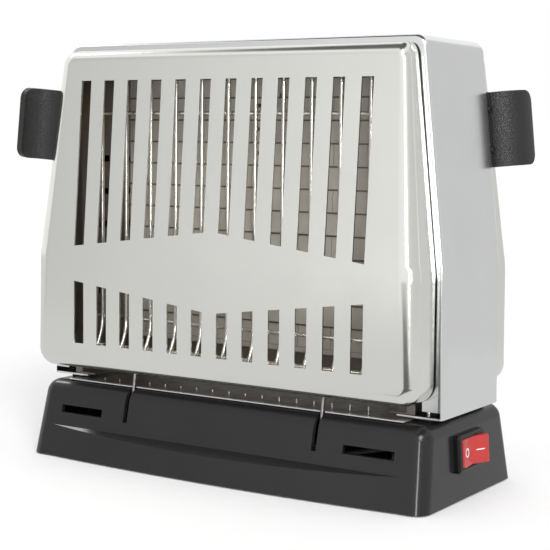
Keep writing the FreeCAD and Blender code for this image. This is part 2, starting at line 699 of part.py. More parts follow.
def front_handle():
    """Quarter round blade standing on a riveted foot; the wall is the plane X = 0, outside is -X."""
    half = HANDLE_THICK / 2
    bottom = -HANDLE_HEIGHT / 2
    centre = Vector(0, -HANDLE_CURVE, bottom)
    rings = []
    for radius in (HANDLE_CURVE + half, HANDLE_CURVE - half):
        start = centre + Vector(-SEAT, radius, 0)
        middle = centre + Vector(-radius * math.sqrt(0.5), radius * math.sqrt(0.5), 0)
        rings.append((start, middle, centre + Vector(-radius, 0, 0)))
    outer, inner = rings
    edges = [
        Part.Arc(*outer).toShape(),
        Part.LineSegment(outer[2], inner[2]).toShape(),
        Part.Arc(*inner).toShape(),
        Part.LineSegment(inner[0], outer[0]).toShape(),
    ]
    blade = Part.Face(Part.Wire(edges)).extrude(Vector(0, 0, HANDLE_HEIGHT))
    tips = []
    for edge in blade.Edges:
        bounds = edge.BoundBox
        if bounds.ZLength < 1e-6 and bounds.YLength < 1e-6 and bounds.YMax < centre.y + 1e-3:
            tips.append(edge)
    blade = blade.makeFillet(HANDLE_CORNER, tips)
    foot = box(-HANDLE_FOOT_THICK, -SEAT, -half, HANDLE_FOOT, bottom, -bottom)
    handle = placed(join([blade, foot]), handle_place())
    return handle.cut(rivet_shafts(RIVET_RADIUS + SEAT))


def rivet_axes():
    """Start on the inside of the door wall and end on the outside of the foot, for each rivet."""
    place = handle_place()
    axes = []
    for z in (-RIVET_SPACING / 2, RIVET_SPACING / 2):
        inside = place.multVec(Vector(SHEET + SEAT, RIVET_REACH, z))
        outside = place.multVec(Vector(-HANDLE_FOOT_THICK - SEAT, RIVET_REACH, z))
        axes.append((inside, outside))
    return axes


def rivet_shafts(radius):
    axes = rivet_axes()
    return [small_bar(radius, inside * 2 - outside, outside * 2 - inside) for inside, outside in axes]


def handle_rivets():
    made = []
    for inside, outside in rivet_axes():
        along = (outside - inside).normalize()
        shaft = small_bar(RIVET_RADIUS, inside, outside)
        head = small_bar(RIVET_RADIUS * 1.4, outside, outside + along * 0.8)
        made.append(join([shaft, head]))
    return Part.makeCompound(made)


# ---------------------------------------------------------------- inside the housing

def rail_box(z0, z1, extra):
    half = RAIL_WIDTH / 2 + extra
    reach = FRAME_X + SHEET * 2
    return box(-reach, reach, -half, half, z0 - extra, z1 + extra)


def rail_heights():
    low = MICA_BOTTOM + RAIL_GRIP - RAIL_DEPTH
    high = MICA_TOP - RAIL_GRIP
    return (low, low + RAIL_DEPTH), (high, high + RAIL_DEPTH)


def end_frame():
    """Right-hand frame: a channel of sheet on a foot, pierced for the cross wires and the rails."""
    inner = FRAME_X - SHEET / 2
    half = WRAP_DEPTH / 2 - SHEET - SEAT
    bottom = WRAP_BOTTOM + SHEET + SEAT
    channel = box(inner, inner + FRAME_FLANGE, -half, half, bottom, FRAME_TOP)
    channel = channel.cut(box(inner + SHEET, HEIGHT, -half + SHEET, half - SHEET, 0, HEIGHT))
    foot = box(inner - FRAME_FOOT, inner + SHEET, -half, half, bottom, bottom + SHEET)
    cuts = []
    for low, high in rail_heights():
        cuts.append(rail_box(low, high, SEAT))
    for y, z in cross_wire_places():
        for side in (-y, y):
            start = Vector(0, side, z)
            cuts.append(small_bar(GUARD_WIRE / 2 + SEAT, start, start + Vector(HEIGHT, 0, 0)))
    for row in range(FRAME_SLOTS):
        z = FRAME_SLOT_LOW + row * FRAME_SLOT_PITCH
        for y in (-FRAME_SLOT_Y, FRAME_SLOT_Y):
            cuts.append(box(0, HEIGHT, y - 4, y + 4, z, z + 3))
    return join([channel, foot]).cut(cuts)


def guard_foot(angle):
    """Middle of a guard wire at an angle along its curved foot, as (Y, Z)."""
    turn = math.radians(angle)
    y = -GUARD_Y - GUARD_CURVE * (1 - math.cos(turn))
    return y, GUARD_CROSS_LOW - GUARD_CURVE * math.sin(turn)


def cross_wire_places():
    """Distance from the middle plane and height of each cross wire of a guard."""
    behind = GUARD_Y - GUARD_WIRE
    return [(behind, GUARD_CROSS_HIGH), (behind, GUARD_CROSS_LOW)]


def front_guard():
    """Upright wires, each turned outwards at its foot, spot welded to three cross wires."""
    bends = [guard_foot(GUARD_SWEEP * step / GUARD_STEPS) for step in range(GUARD_STEPS + 1)]
    wires = []
    for i in range(GUARD_WIRES):
        x = (i - (GUARD_WIRES - 1) / 2) * GUARD_PITCH
        path = [Vector(x, -GUARD_Y, GUARD_TOP)] + [Vector(x, y, z) for y, z in bends]
        wires.append(wire_bar(path, GUARD_WIRE / 2))
    reach = FRAME_X + SHEET * 2
    for y, z in cross_wire_places():
        wires.append(wire_bar([Vector(-reach, -y, z), Vector(reach, -y, z)], GUARD_WIRE / 2))
    tie_y, tie_z = [(a + b) / 2 for a, b in zip(bends[-2], bends[-1])]
    turn = math.radians(GUARD_SWEEP * (GUARD_STEPS - 0.5) / GUARD_STEPS)
    tie_y += GUARD_WIRE * math.cos(turn)
    tie_z -= GUARD_WIRE * math.sin(turn)
    span = (GUARD_WIRES - 1) / 2 * GUARD_PITCH + GUARD_WIRE
    wires.append(wire_bar([Vector(-span, tie_y, tie_z), Vector(span, tie_y, tie_z)], GUARD_WIRE / 2))
    return Part.makeCompound(wires)


def terminal_places():
    return [Vector(x, 0, TERMINAL_Z) for x in (-TERMINAL_X, TERMINAL_X)]


def mica_board():
    half = MICA_THICK / 2
    board = box(-MICA_HALF, MICA_HALF, -half, half, MICA_BOTTOM + SEAT, MICA_TOP - SEAT)
    across = Vector(0, HEIGHT, 0)
    return board.cut([small_bar(TERMINAL_RADIUS + SEAT, p - across, p + across) for p in terminal_places()])


def heater_ribbon():
    """Flat ribbon wound round the board: level strands in front, sloping strands behind."""
    inner = MICA_THICK / 2 + SEAT
    outer = inner + RIBBON_THICK
    fold_in = MICA_HALF + SEAT
    fold_out = fold_in + RIBBON_THICK
    pieces = []
    for turn in range(RIBBON_TURNS):
        z = RIBBON_LOW + turn * RIBBON_PITCH
        top = z + RIBBON_WIDTH
        pieces.append(box(-fold_out, fold_out, -outer, -inner, z, top))
        if turn > 0:
            pieces.append(box(fold_in, fold_out, -outer, outer, z, top))
        if turn < RIBBON_TURNS - 1:
            pieces.append(box(-fold_out, -fold_in, -outer, outer, z, top))
            points = [
                Vector(-fold_out, inner, z),
                Vector(-fold_out, inner, top),
                Vector(fold_out, inner, top + RIBBON_PITCH),
                Vector(fold_out, inner, z + RIBBON_PITCH),
            ]
            pieces.append(polygon_prism(points, Vector(0, RIBBON_THICK, 0)))
    return join(pieces)


def element_rail(heights, groove_up):
    low, high = heights
    rail = rail_box(low, high, 0)
    half = MICA_THICK / 2 + SEAT
    if groove_up:
        return rail.cut(box(-MICA_HALF - SEAT, MICA_HALF + SEAT, -half, half, high - RAIL_GRIP, high + 1))
    return rail.cut(box(-MICA_HALF - SEAT, MICA_HALF + SEAT, -half, half, low - 1, low + RAIL_GRIP))


def element_terminals():
    """Studs riveted through the board that the leads are wrapped on."""
    made = []
    for place in terminal_places():
        face = MICA_THICK / 2 + SEAT
        shaft = small_bar(TERMINAL_RADIUS, place - Vector(0, face, 0), place + Vector(0, LEAD_Y, 0))
        head = small_bar(2 * TERMINAL_RADIUS, place - Vector(0, face + 1.2, 0), place - Vector(0, face, 0))
        made.append(join([shaft, head]))
    return Part.makeCompound(made)


# ---------------------------------------------------------------- wiring

def lead_wires():
    """Three insulated leads: element to block, element to switch, switch to block."""
    start_z = TERMINAL_Z - TERMINAL_RADIUS - SEAT
    block_z = PLATE_BOTTOM + PLATE_THICK + BLOCK_HEIGHT / 2
    tab_x = base_half_length(SWITCH_Z) - SWITCH_DEPTH - TAB_LENGTH - SEAT - 0.4
    block_left = BLOCK_X - BLOCK_LENGTH / 2 - SEAT
    block_right = BLOCK_X + BLOCK_LENGTH / 2 + SEAT
    near = SWITCH_Y - TAB_SPACING / 2
    far = SWITCH_Y + TAB_SPACING / 2
    routes = [
        [
            Vector(-TERMINAL_X, LEAD_Y, start_z),
            Vector(-TERMINAL_X, LEAD_Y, block_z),
            Vector(block_left, LEAD_Y, block_z),
        ],
        [Vector(TERMINAL_X, far, start_z), Vector(TERMINAL_X, far, SWITCH_Z), Vector(tab_x, far, SWITCH_Z)],
        [
            Vector(tab_x, near, SWITCH_Z),
            Vector(TERMINAL_X / 2, near, block_z),
            Vector(block_right, near, block_z),
        ],
    ]
    return Part.makeCompound([wire_bar(bent_path(route, LEAD_BEND), LEAD_RADIUS) for route in routes])


def terminal_block():
    """Three-way ceramic block with a screw hole over each way and one to hold it down."""
    bottom = PLATE_BOTTOM + PLATE_THICK + SEAT
    half_x = BLOCK_LENGTH / 2
    half_y = BLOCK_WIDTH / 2
    block = box(BLOCK_X - half_x, BLOCK_X + half_x, -half_y, half_y, bottom, bottom + BLOCK_HEIGHT)
    cuts = []
    for y in (-BLOCK_WIDTH / 3, 0, BLOCK_WIDTH / 3):
        for x in (BLOCK_X - half_x / 2, BLOCK_X + half_x / 2):
            cuts.append(small_bar(1.6, Vector(x, y, bottom + 3), Vector(x, y, BASE_TOP)))
    for y in (-BLOCK_WIDTH / 6, BLOCK_WIDTH / 6):
        cuts.append(box(BLOCK_X - half_x, BLOCK_X + half_x, y - 1, y + 1,
                        bottom + BLOCK_HEIGHT / 2, BASE_TOP))
    cuts.append(small_bar(SCREW_RADIUS + SEAT, Vector(BLOCK_X, 0, 0), Vector(BLOCK_X, 0, BASE_TOP)))
    return block.cut(cuts)


# ---------------------------------------------------------------- switch and cord bush

def switch_body():
    half_l = SWITCH_LENGTH / 2
    half_h = SWITCH_HEIGHT / 2
    body = box(-SWITCH_DEPTH, SEAT + BEZEL_PROUD / 2, -half_l, half_l, -half_h, half_h)
    bezel = box(SEAT, BEZEL_PROUD, -BEZEL_LENGTH / 2, BEZEL_LENGTH / 2, -BEZEL_HEIGHT / 2, BEZEL_HEIGHT / 2)
    rims = [e for e in bezel.Edges if e.BoundBox.XMax > BEZEL_PROUD - 1e-6]
    bezel = bezel.makeFillet(BEZEL_ROUND, rims)
    well_l = ROCKER_LENGTH / 2 + GAP
    well_h = ROCKER_HEIGHT / 2 + GAP
    well = box(ROCKER_WELL - SWITCH_DEPTH, BASE_LENGTH, -well_l, well_l, -well_h, well_h)
    pin = Vector(ROCKER_PIVOT, 0, 0)
    reach = Vector(0, 0, half_h + SEAT)
    bearing = cylinder(PIN_RADIUS + RUN_FIT, pin - reach, pin + reach)
    return placed(join([body, bezel]).cut([well, bearing]), right_wall_place())


def switch_rocker():
    """Rocker with its left half pressed in: a drum about the pivot with a hollowed face."""
    half_h = ROCKER_HEIGHT / 2
    pin = Vector(ROCKER_PIVOT, 0, 0)
    drum = cylinder(ROCKER_LENGTH / 2, pin - Vector(0, 0, half_h), pin + Vector(0, 0, half_h))
    rise = ROCKER_LENGTH * math.tan(math.radians(ROCKER_FACE))
    points = [
        Vector(ROCKER_PIVOT - ROCKER_BACK, -ROCKER_LENGTH, -half_h),
        Vector(ROCKER_DIP + rise, -ROCKER_LENGTH, -half_h),
        Vector(ROCKER_DIP, 0, -half_h),
        Vector(ROCKER_DIP + rise, ROCKER_LENGTH, -half_h),
        Vector(ROCKER_PIVOT - ROCKER_BACK, ROCKER_LENGTH, -half_h),
    ]
    rocker = drum.common(polygon_prism(points, Vector(0, 0, ROCKER_HEIGHT)))
    reach = Vector(0, 0, SWITCH_HEIGHT / 2)
    rocker = join([rocker, cylinder(PIN_RADIUS, pin - reach, pin + reach)])
    rocker.rotate(pin, UP, -ROCKER_TILT)
    return placed(rocker, right_wall_place())


def switch_terminals():
    tabs = []
    for y in (-TAB_SPACING / 2, TAB_SPACING / 2):
        back = -SWITCH_DEPTH - SEAT
        tabs.append(box(back - TAB_LENGTH, back, y - 0.4, y + 0.4, -3.1, 3.1))
    return placed(Part.makeCompound(tabs), right_wall_place())


def cord_bush():
    """Flanged rubber bush that lines the cord's hole."""
    inside = -BASE_WALL - 2
    barrel = cylinder(BUSH_RADIUS, Vector(inside, 0, 0), Vector(SEAT + 0.5, 0, 0))
    flange = cylinder(BUSH_RADIUS + 1.6, Vector(SEAT, 0, 0), Vector(1.8, 0, 0))
    flange = flange.makeChamfer(0.5, [e for e in flange.Edges if e.BoundBox.XMin > 1.7])
    bore = cylinder(BUSH_BORE, Vector(inside - 1, 0, 0), Vector(BASE_WALL + 1, 0, 0))
    return placed(join([barrel, flange]).cut(bore), left_wall_place())


# ---------------------------------------------------------------- all the pieces

def build():
    low_rail, high_rail = rail_heights()
    door = front_door()
    handle = front_handle()
    wire = hinge_wire()
    rivets = handle_rivets()
    spring = hinge_spring()
    guard = front_guard()
    frame = end_frame()
    shoulder = BASE_TOP - BASE_WALL - SEAT
    return {
        "base_shell": base_shell(),
        "base_plate": base_plate(),
        "rubber_feet": rubber_feet(),
        "base_screws": screws(four_places(BOSS_X, BOSS_Y) + [(BLOCK_X, 0)], PLATE_BOTTOM - SEAT, BASE_TOP / 3),
        "deck_tray": deck_tray(),
        "housing_wrapper": housing_wrapper(),
        "housing_screws": screws(four_places(HOUSING_SCREW_X, HOUSING_SCREW_Y), shoulder, WRAP_BOTTOM + 2.5),
        "end_frame_left": mirrored(frame),
        "end_frame_right": frame,
        "front_guard": guard,
        "rear_guard": turned(guard),
        "mica_board": mica_board(),
        "heater_ribbon": heater_ribbon(),
        "element_rail_bottom": element_rail(low_rail, True),
        "element_rail_top": element_rail(high_rail, False),
        "element_terminals": element_terminals(),
        "lead_wires": lead_wires(),
        "terminal_block": terminal_block(),
        "switch_body": switch_body(),
        "switch_rocker": switch_rocker(),
        "switch_terminals": switch_terminals(),
        "cord_bush": cord_bush(),
        "hinge_keepers": hinge_keepers(),
        "keeper_screws": keeper_screws(),
        "front_spring": spring,
        "rear_spring": turned(spring),
        "front_door": door,
        "front_handle": handle,
        "front_hinge_wire": wire,
        "front_rivets": rivets,
        "rear_door": turned(door),
        "rear_handle": turned(handle),
        "rear_hinge_wire": turned(wire),
        "rear_rivets": turned(rivets),
    }


os.makedirs("parts", exist_ok=True)
for name, shape in build().items():
    shape.exportStep("parts/" + name + ".step")
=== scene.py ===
import math

import bmesh
import bpy
from mathutils import Matrix, Vector


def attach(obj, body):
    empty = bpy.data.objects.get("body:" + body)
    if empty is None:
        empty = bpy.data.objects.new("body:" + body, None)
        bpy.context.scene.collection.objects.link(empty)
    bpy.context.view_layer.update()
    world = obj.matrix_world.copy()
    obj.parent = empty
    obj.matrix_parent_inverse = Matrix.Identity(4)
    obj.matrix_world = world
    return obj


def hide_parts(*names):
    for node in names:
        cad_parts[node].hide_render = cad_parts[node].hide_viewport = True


bl_info = {
    "name": "Drop Side Toaster",
    "version": (1, 0, 0),
    "blender": (4, 5, 0),
    "location": "3D View > Sidebar > Toaster",
    "description": "Dresses the packed drop side toaster: chrome doors, housing, base, element and studio",
    "category": "Object",
}

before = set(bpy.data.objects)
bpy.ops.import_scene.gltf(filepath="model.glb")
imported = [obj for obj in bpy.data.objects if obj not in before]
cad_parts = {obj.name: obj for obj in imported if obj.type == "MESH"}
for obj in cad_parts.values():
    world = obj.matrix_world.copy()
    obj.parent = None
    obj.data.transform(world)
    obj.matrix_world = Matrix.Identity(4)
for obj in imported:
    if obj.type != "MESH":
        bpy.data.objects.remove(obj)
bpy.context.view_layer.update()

# Lengths are in metres, angles in radians.
MM = 0.001
NEAR = 1e-4  # two places closer than this count as one
WELD = 2e-6  # points closer than this are merged
HAIR = 0.00005  # gap between two pieces that touch
PAST = 0.01  # how far a cutter reaches past a face
THROUGH = 0.05  # reach of a cutter that goes right through the housing
DOORS = ("front_door", "rear_door")

LIP_END = 0.084  # where a bottom lip stops, along X
HOUSING_ROUND = 0.003  # radius of the bend in the housing's sides
DOOR_ROUND = 0.0036  # radius of the bend in a door
BEND_SPAN = 0.006  # how far either side of the bend a door's side rolls are widened
TOP_SPAN = 0.0045  # and how far either side of a height just under the top
TOP_DROP = 0.003
SLOT_CUT = (-0.06, -0.032)  # reach of the slot cutters along Y
HOLE_LEAN = 0.0004  # how far a hinge hole leans outwards on its way down
SHADOW_LINE_REACH = 0.029  # how far from the middle plane a door's painted shadow line reaches: the dark gap between door and housing flange is painted along the rim
DECK_RIM = 0.0322  # where the deck's bright rim starts
COIL_START = 0.04555  # along X
COIL_GAP = 0.0003  # between the coil and its axle
COIL_STEPS = 24  # in one turn
SPRING_LEG = 0.009
RIVET_Y = 0.0032  # in the handle's own axes
RIVET_Z = 0.009
RIVET_END = 0.00085  # how far a rivet stands out at either end
SHANK_RADIUS = 0.0011
HEAD_RADIUS = 0.0015
HEAD_ROUND = 0.0006
WIRE_ROUND = 0.0003  # radius at the ends of a guard's wires
TIE_PLACE = 0.75  # how far round the feet's turn their tie lies
CROSS_END = 0.0901  # where the cross wires meet the end frames
PEG_RADIUS = 0.0004
PEG_STEPS = range(-9, 8)
PEG_MIDDLE = 0.007
PEG_PITCH = 0.009
PEG_Y = -0.0268
PEG_LOW = 0.0358
PEG_HIGH = 0.0383
PEG_RISE = 0.00012  # from one top to the next
FIRST_RUN = 0.0676  # height of the ribbon's lowest run
RUN_PITCH = 0.0103
RUNS = 11
RUN_HALF = 0.002  # half the height of the zone round a run
RUN_SQUASH = 0.4
MICA_FACE = -0.0003
EYELET_HEIGHT = 0.0008
EYELET_DEPTH = 0.0005
EYELETS = (  # place along X, height and radius
    (-0.005, 0.1453, 0.0009),
    (-0.0049, 0.1563, 0.0009),
    (-0.0044, 0.167, 0.0009),
    (0.0084, 0.1717, 0.0015),
)

BASE_HALF = 0.1058  # half width of the base at the ground
BASE_DRAFT = math.radians(4)
SWITCH_Y = -0.0016
SWITCH_Z = 0.0206
ROCKER_PIN = 0.001  # distance of the pin from the wall, outwards
ROCKER_FACE = 0.0024  # and of the middle of the rocker's face
ROCKER_SLOPE = math.radians(16)
ROCKER_TILT = math.radians(-10)
MARK_THICK = 0.0001
RING_PLACE = -0.0056
RING_RADIUS = 0.002
RING_WIDTH = 0.00052
DASH_PLACE = 0.0045
DASH_HALF = 0.0023
DASH_WIDTH = 0.0004
DASH_ROUND = 0.00018

BLACK = (0, 0, 0)
WHITE = (1, 1, 1)
# Painted shadow: the dark colour of the line painted along a door's rim, for the gap between door and housing.
SHADOW_LINE_DARK = (0.02, 0.02, 0.02)
SCORCH = (0.1, 0.083, 0.064)
STRAW = (0.55, 0.42, 0.25, 1)
BLUED = (0.42, 0.42, 0.5, 1)
RUBBER = (0.025, 0.025, 0.025)
SWITCH_BLACK = (0.006, 0.006, 0.006)
RIVET_BLACK = (0.045, 0.045, 0.047)
EYELET_STEEL = (0.03, 0.027, 0.024)
PLATE_STEEL = (0.55, 0.56, 0.57)
SCREW_STEEL = (0.5, 0.5, 0.5)
BRASS = (0.72, 0.55, 0.28)
SLEEVE = (0.75, 0.72, 0.65)
CERAMIC = (0.78, 0.76, 0.71)

CEILING = (0.78, 0.83)  # where the ceiling starts and is whole, in the sky's own height
GLOW_REACH = 0.18
KEY_PLACE = (1.2, -1.3, 1.2)
CAMERA_PLACE = (0.36079, -0.55115, 0.1518)
CAMERA_RIGHT = (0.83928, 0.54358, 0.01123)
CAMERA_BACK = (0.54028, -0.83615, 0.09463)
SENSOR = 36  # width in millimetres
FOCAL_PIXELS = 1430.26
PICTURE_PIXELS = 550


# ---------------------------------------------------------------- modelling helpers

def let_go():
    """Leaves edit mode with nothing selected."""
    if bpy.context.object and bpy.context.object.mode != "OBJECT":
        bpy.ops.object.mode_set(mode="OBJECT")
    bpy.ops.object.select_all(action="DESELECT")
    bpy.context.view_layer.objects.active = None


def take(obj):
    """Selects one object alone and makes it the active one."""
    let_go()
    obj.select_set(True)
    bpy.context.view_layer.objects.active = obj


def named(name):
    """Names the active object and its mesh, and hands it over."""
    obj = bpy.context.object
    obj.name = name
    obj.data.name = name
    return obj


def settle(obj, matrix=None):
    """Puts the object's place, turn and scale into its mesh, from a matrix if one is given."""
    if matrix is not None:
        obj.matrix_world = matrix
    take(obj)
    bpy.ops.object.transform_apply(location=True, rotation=True, scale=True)
    return obj


def add(primitive, name, **values):
    """Calls an operator that adds a primitive, and names what it made."""
    let_go()
    primitive(**values)
    return named(name)


def facing(direction):
    """The turn that points a primitive's Z along a direction."""
    return Vector(direction).to_track_quat("Z", "Y").to_euler()


def block(name, low, high):
    """A box between two corners."""
    low = Vector(low)
    high = Vector(high)
    obj = add(bpy.ops.mesh.primitive_cube_add, name, size=1, location=(low + high) / 2)
    obj.scale = high - low
    return settle(obj)


def rod(name, radius, start, end, vertices=32):
    """A round bar between two points."""
    start = Vector(start)
    end = Vector(end)
    return settle(add(
        bpy.ops.mesh.primitive_cylinder_add, name, radius=radius, depth=(end - start).length,
        vertices=vertices, location=(start + end) / 2, rotation=facing(end - start)))


def begin_edit(obj, mode="EDGE", action="DESELECT"):
    """Goes into edit mode with all or nothing selected."""
    take(obj)
    bpy.ops.object.mode_set(mode="EDIT")
    bpy.ops.mesh.select_mode(type=mode)
    bpy.ops.mesh.select_all(action=action)


def end_edit():
    bpy.ops.object.mode_set(mode="OBJECT")


def select_where(obj, kind, wanted):
    """Selects the verts, edges or faces of the mesh in edit mode that pass the test."""
    mesh = bmesh.from_edit_mesh(obj.data)
    mesh.normal_update()
    for item in getattr(mesh, kind):
        item.select_set(wanted(item))
    mesh.select_flush_mode()
    bmesh.update_edit_mesh(obj.data)


def weld(distance=WELD):
    """Merges doubles and turns the faces outwards, in edit mode."""
    bpy.ops.mesh.select_all(action="SELECT")
    bpy.ops.mesh.remove_doubles(threshold=distance)
    bpy.ops.mesh.normals_make_consistent(inside=False)


def stretch_points(obj, wanted, factors, centre=(0, 0, 0)):
    """Scales the points whose places pass the test."""
    begin_edit(obj, "VERT")
    select_where(obj, "verts", lambda point: wanted(point.co))
    bpy.ops.transform.resize(value=factors, center_override=centre)
    end_edit()


def shift_points(obj, wanted, offset):
    """Moves the points whose places pass the test."""
    begin_edit(obj, "VERT")
    select_where(obj, "verts", lambda point: wanted(point.co))
    bpy.ops.transform.translate(value=offset)
    end_edit()


def bevel_where(obj, wanted, radius, segments):
    """Bevels the edges that pass the test."""
    begin_edit(obj)
    select_where(obj, "edges", wanted)
    bpy.ops.mesh.bevel(offset=radius, segments=segments, affect="EDGES", clamp_overlap=False)
    end_edit()


def round_edges(obj, wanted, radius, segments):
    """Bevels the edges whose two ends pass the test."""
    bevel_where(obj, lambda edge: wanted(*(point.co for point in edge.verts)), radius, segments)


def round_folds(obj, wanted, radius, segments):
    """Bevels the edges whose two faces' normals pass the test."""
    bevel_where(obj, lambda edge: len(edge.link_faces) == 2
                and wanted(*(face.normal for face in edge.link_faces)), radius, segments)


def apply_modifier(obj, kind, **values):
    take(obj)
    modifier = obj.modifiers.new(kind.title(), kind)
    for key, value in values.items():
        setattr(modifier, key, value)
    bpy.ops.object.modifier_apply(modifier=modifier.name)


def combine(obj, operation, *tools):
    """Cuts, joins or crosses the object with other shapes, which are then deleted."""
    for tool in tools:
        apply_modifier(obj, "BOOLEAN", operation=operation, solver="EXACT", object=tool)
        bpy.data.objects.remove(tool)


def merge(objects, name):
    """Joins pieces into one object."""
    let_go()
    for obj in objects:
        obj.select_set(True)
    bpy.context.view_layer.objects.active = objects[0]
    bpy.ops.object.join()
    return named(name)


def soften(obj, width, segments=2, angle=40):
    """Breaks every sharp edge."""
    apply_modifier(obj, "BEVEL", width=width, segments=segments, limit_method="ANGLE",
                   angle_limit=math.radians(angle), use_clamp_overlap=True)


def smooth(obj, angle=35):
    """Merges doubles and shades the rounds, with the flats kept flat."""
    begin_edit(obj)
    weld()
    end_edit()
    bpy.ops.object.shade_smooth_by_angle(angle=math.radians(angle))
    apply_modifier(obj, "WEIGHTED_NORMAL", mode="FACE_AREA", weight=50, keep_sharp=True)
    return obj


def refined(node, name):
    """A copy of a CAD node as clean faces, ready to be finished."""
    let_go()
    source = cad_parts[node]
    obj = source.copy()
    obj.data = source.data.copy()
    obj.parent = None
    obj.matrix_world = Matrix.Identity(4)
    obj.name = name
    bpy.context.collection.objects.link(obj)
    begin_edit(obj, action="SELECT")
    bpy.ops.mesh.remove_doubles(threshold=WELD)
    bpy.ops.mesh.dissolve_limited(angle_limit=math.radians(0.3))
    end_edit()
    return obj


def bent_wire(name, radius, start, moves, sides=16):
    """A round wire drawn out from a ring: straight runs, and bends about a centre and an axis.

    Each move is ("run", offset) or ("bend", centre, axis, degrees)."""
    obj = settle(add(
        bpy.ops.mesh.primitive_circle_add, name, radius=radius, vertices=sides, fill_type="NGON",
        location=start, rotation=facing(moves[0][1])))
    begin_edit(obj, "FACE", "SELECT")
    for kind, *move in moves:
        if kind == "run":
            bpy.ops.mesh.extrude_region_move(TRANSFORM_OT_translate={"value": move[0]})
        else:
            centre, axis, degrees = move
            steps = max(3, round(abs(degrees) / 9))
            bpy.ops.mesh.spin(steps=steps, angle=-math.radians(degrees), center=centre, axis=axis)
    weld(WELD / 2)
    end_edit()
    return obj


# ---------------------------------------------------------------- bodies, slots and materials of the pieces

def dress(obj, body, slot, material, *nodes):
    """Gives a finished piece its body and material, and hides the CAD nodes that it stands for. The slot is
    not used.
    """
    obj.data.materials.clear()
    obj.data.materials.append(material)
    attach(obj, body)
    if nodes:
        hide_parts(*nodes)


def dress_pair(front, slot, material, node=None, bodies=("body", "body")):
    """Dresses a front piece and its copy, half a turn round, at the rear.

    The node is the end of the two CAD nodes' names, without front or rear."""
    take(front)
    bpy.ops.object.duplicate(linked=False)
    rear = named(front.name.replace("front", "rear"))
    rear.rotation_euler = (0, 0, math.pi)
    settle(rear)
    for obj, body, side in zip((front, rear), bodies, ("front", "rear")):
        dress(obj, body, slot, material, *([f"{side}_{node}"] if node else []))


def dress_node(node, name, slot, material, width, segments=2, angle=40, body="body"):
    """Replaces a CAD node by its own mesh, cleaned and with its edges broken."""
    obj = refined(node, name)
    soften(obj, width, segments, angle)
    smooth(obj)
    dress(obj, body, slot, material, node)


def paint_node(node, material):
    """Gives a CAD node that is kept its finish."""
    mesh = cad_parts[node].data
    mesh.materials.clear()
    mesh.materials.append(material)


# ---------------------------------------------------------------- shader helpers

def plug(tree, value, socket):
    """Links a socket to another one, or sets it to a plain value."""
    if isinstance(value, bpy.types.NodeSocket):
        tree.links.new(value, socket)
    elif socket.type == "RGBA":
        socket.default_value = (*value[:3], 1)
    else:
        socket.default_value = value


def wire_up(tree, node, **values):
    """Links or sets a node's inputs, named with underscores for spaces, and gives its outputs."""
    for key, value in values.items():
        plug(tree, value, node.inputs[key.replace("_", " ")])
    return node.outputs


def add_noise(tree, vector, scale, detail, rough=0.55):
    noise = tree.nodes.new("ShaderNodeTexNoise")
    return wire_up(tree, noise, Vector=vector, Scale=scale, Detail=detail, Roughness=rough)["Fac"]


def add_math(tree, operation, first, second=0.0, clamp=False):
    node = tree.nodes.new("ShaderNodeMath")
    node.operation = operation
    node.use_clamp = clamp
    plug(tree, first, node.inputs[0])
    plug(tree, second, node.inputs[1])
    return node.outputs["Value"]


def add_range(tree, value, low, high, new_low=0.0, new_high=1.0):
    node = tree.nodes.new("ShaderNodeMapRange")
    return wire_up(tree, node, Value=value, From_Min=low, From_Max=high,
                   To_Min=new_low, To_Max=new_high)["Result"]


def between(tree, mask, first, second):
    """A value that goes from the first, where the mask is 0, to the second, where it is 1."""
    return add_range(tree, mask, 0.0, 1.0, first, second)


def add_mix(tree, mask, first, second):
    """A blend from one colour to another."""
    node = tree.nodes.new("ShaderNodeMix")
    node.data_type = "RGBA"
    plug(tree, mask, node.inputs["Factor"])
    plug(tree, first, node.inputs[6])
    plug(tree, second, node.inputs[7])
    return node.outputs[2]


def split(tree, vector):
    """The X, Y and Z of a vector."""
    return wire_up(tree, tree.nodes.new("ShaderNodeSeparateXYZ"), Vector=vector)


def add_bump(tree, height, strength, distance):
    node = tree.nodes.new("ShaderNodeBump")
    return wire_up(tree, node, Height=height, Strength=strength, Distance=distance)["Normal"]


def shade(colour, factor):
    """A colour made darker or paler."""
    return [min(1.0, part * factor) for part in colour[:3]]


def start_group(name, inputs, outputs):
    """An empty node group of named inputs with their values and named outputs, and its two end nodes."""
    tree = bpy.data.node_groups.new(name, "ShaderNodeTree")
    tree.interface.new_socket(name="Vector", in_out="INPUT", socket_type="NodeSocketVector")
    for label, value in inputs.items():
        kind = "NodeSocketFloat" if isinstance(value, float) else "NodeSocketColor"
        tree.interface.new_socket(name=label, in_out="INPUT", socket_type=kind).default_value = value
    for label in outputs:
        kind = "NodeSocketColor" if label == "Color" else "NodeSocketFloat"
        tree.interface.new_socket(name=label, in_out="OUTPUT", socket_type=kind)
    return tree, tree.nodes.new("NodeGroupInput").outputs, tree.nodes.new("NodeGroupOutput")


def add_group(tree, name, maker, vector, **values):
    """Places the named group, made the first time that it is asked for, and gives its outputs."""
    node = tree.nodes.new("ShaderNodeGroup")
    node.node_tree = bpy.data.node_groups.get(name) or maker(name)
    return wire_up(tree, node, Vector=vector, **values)


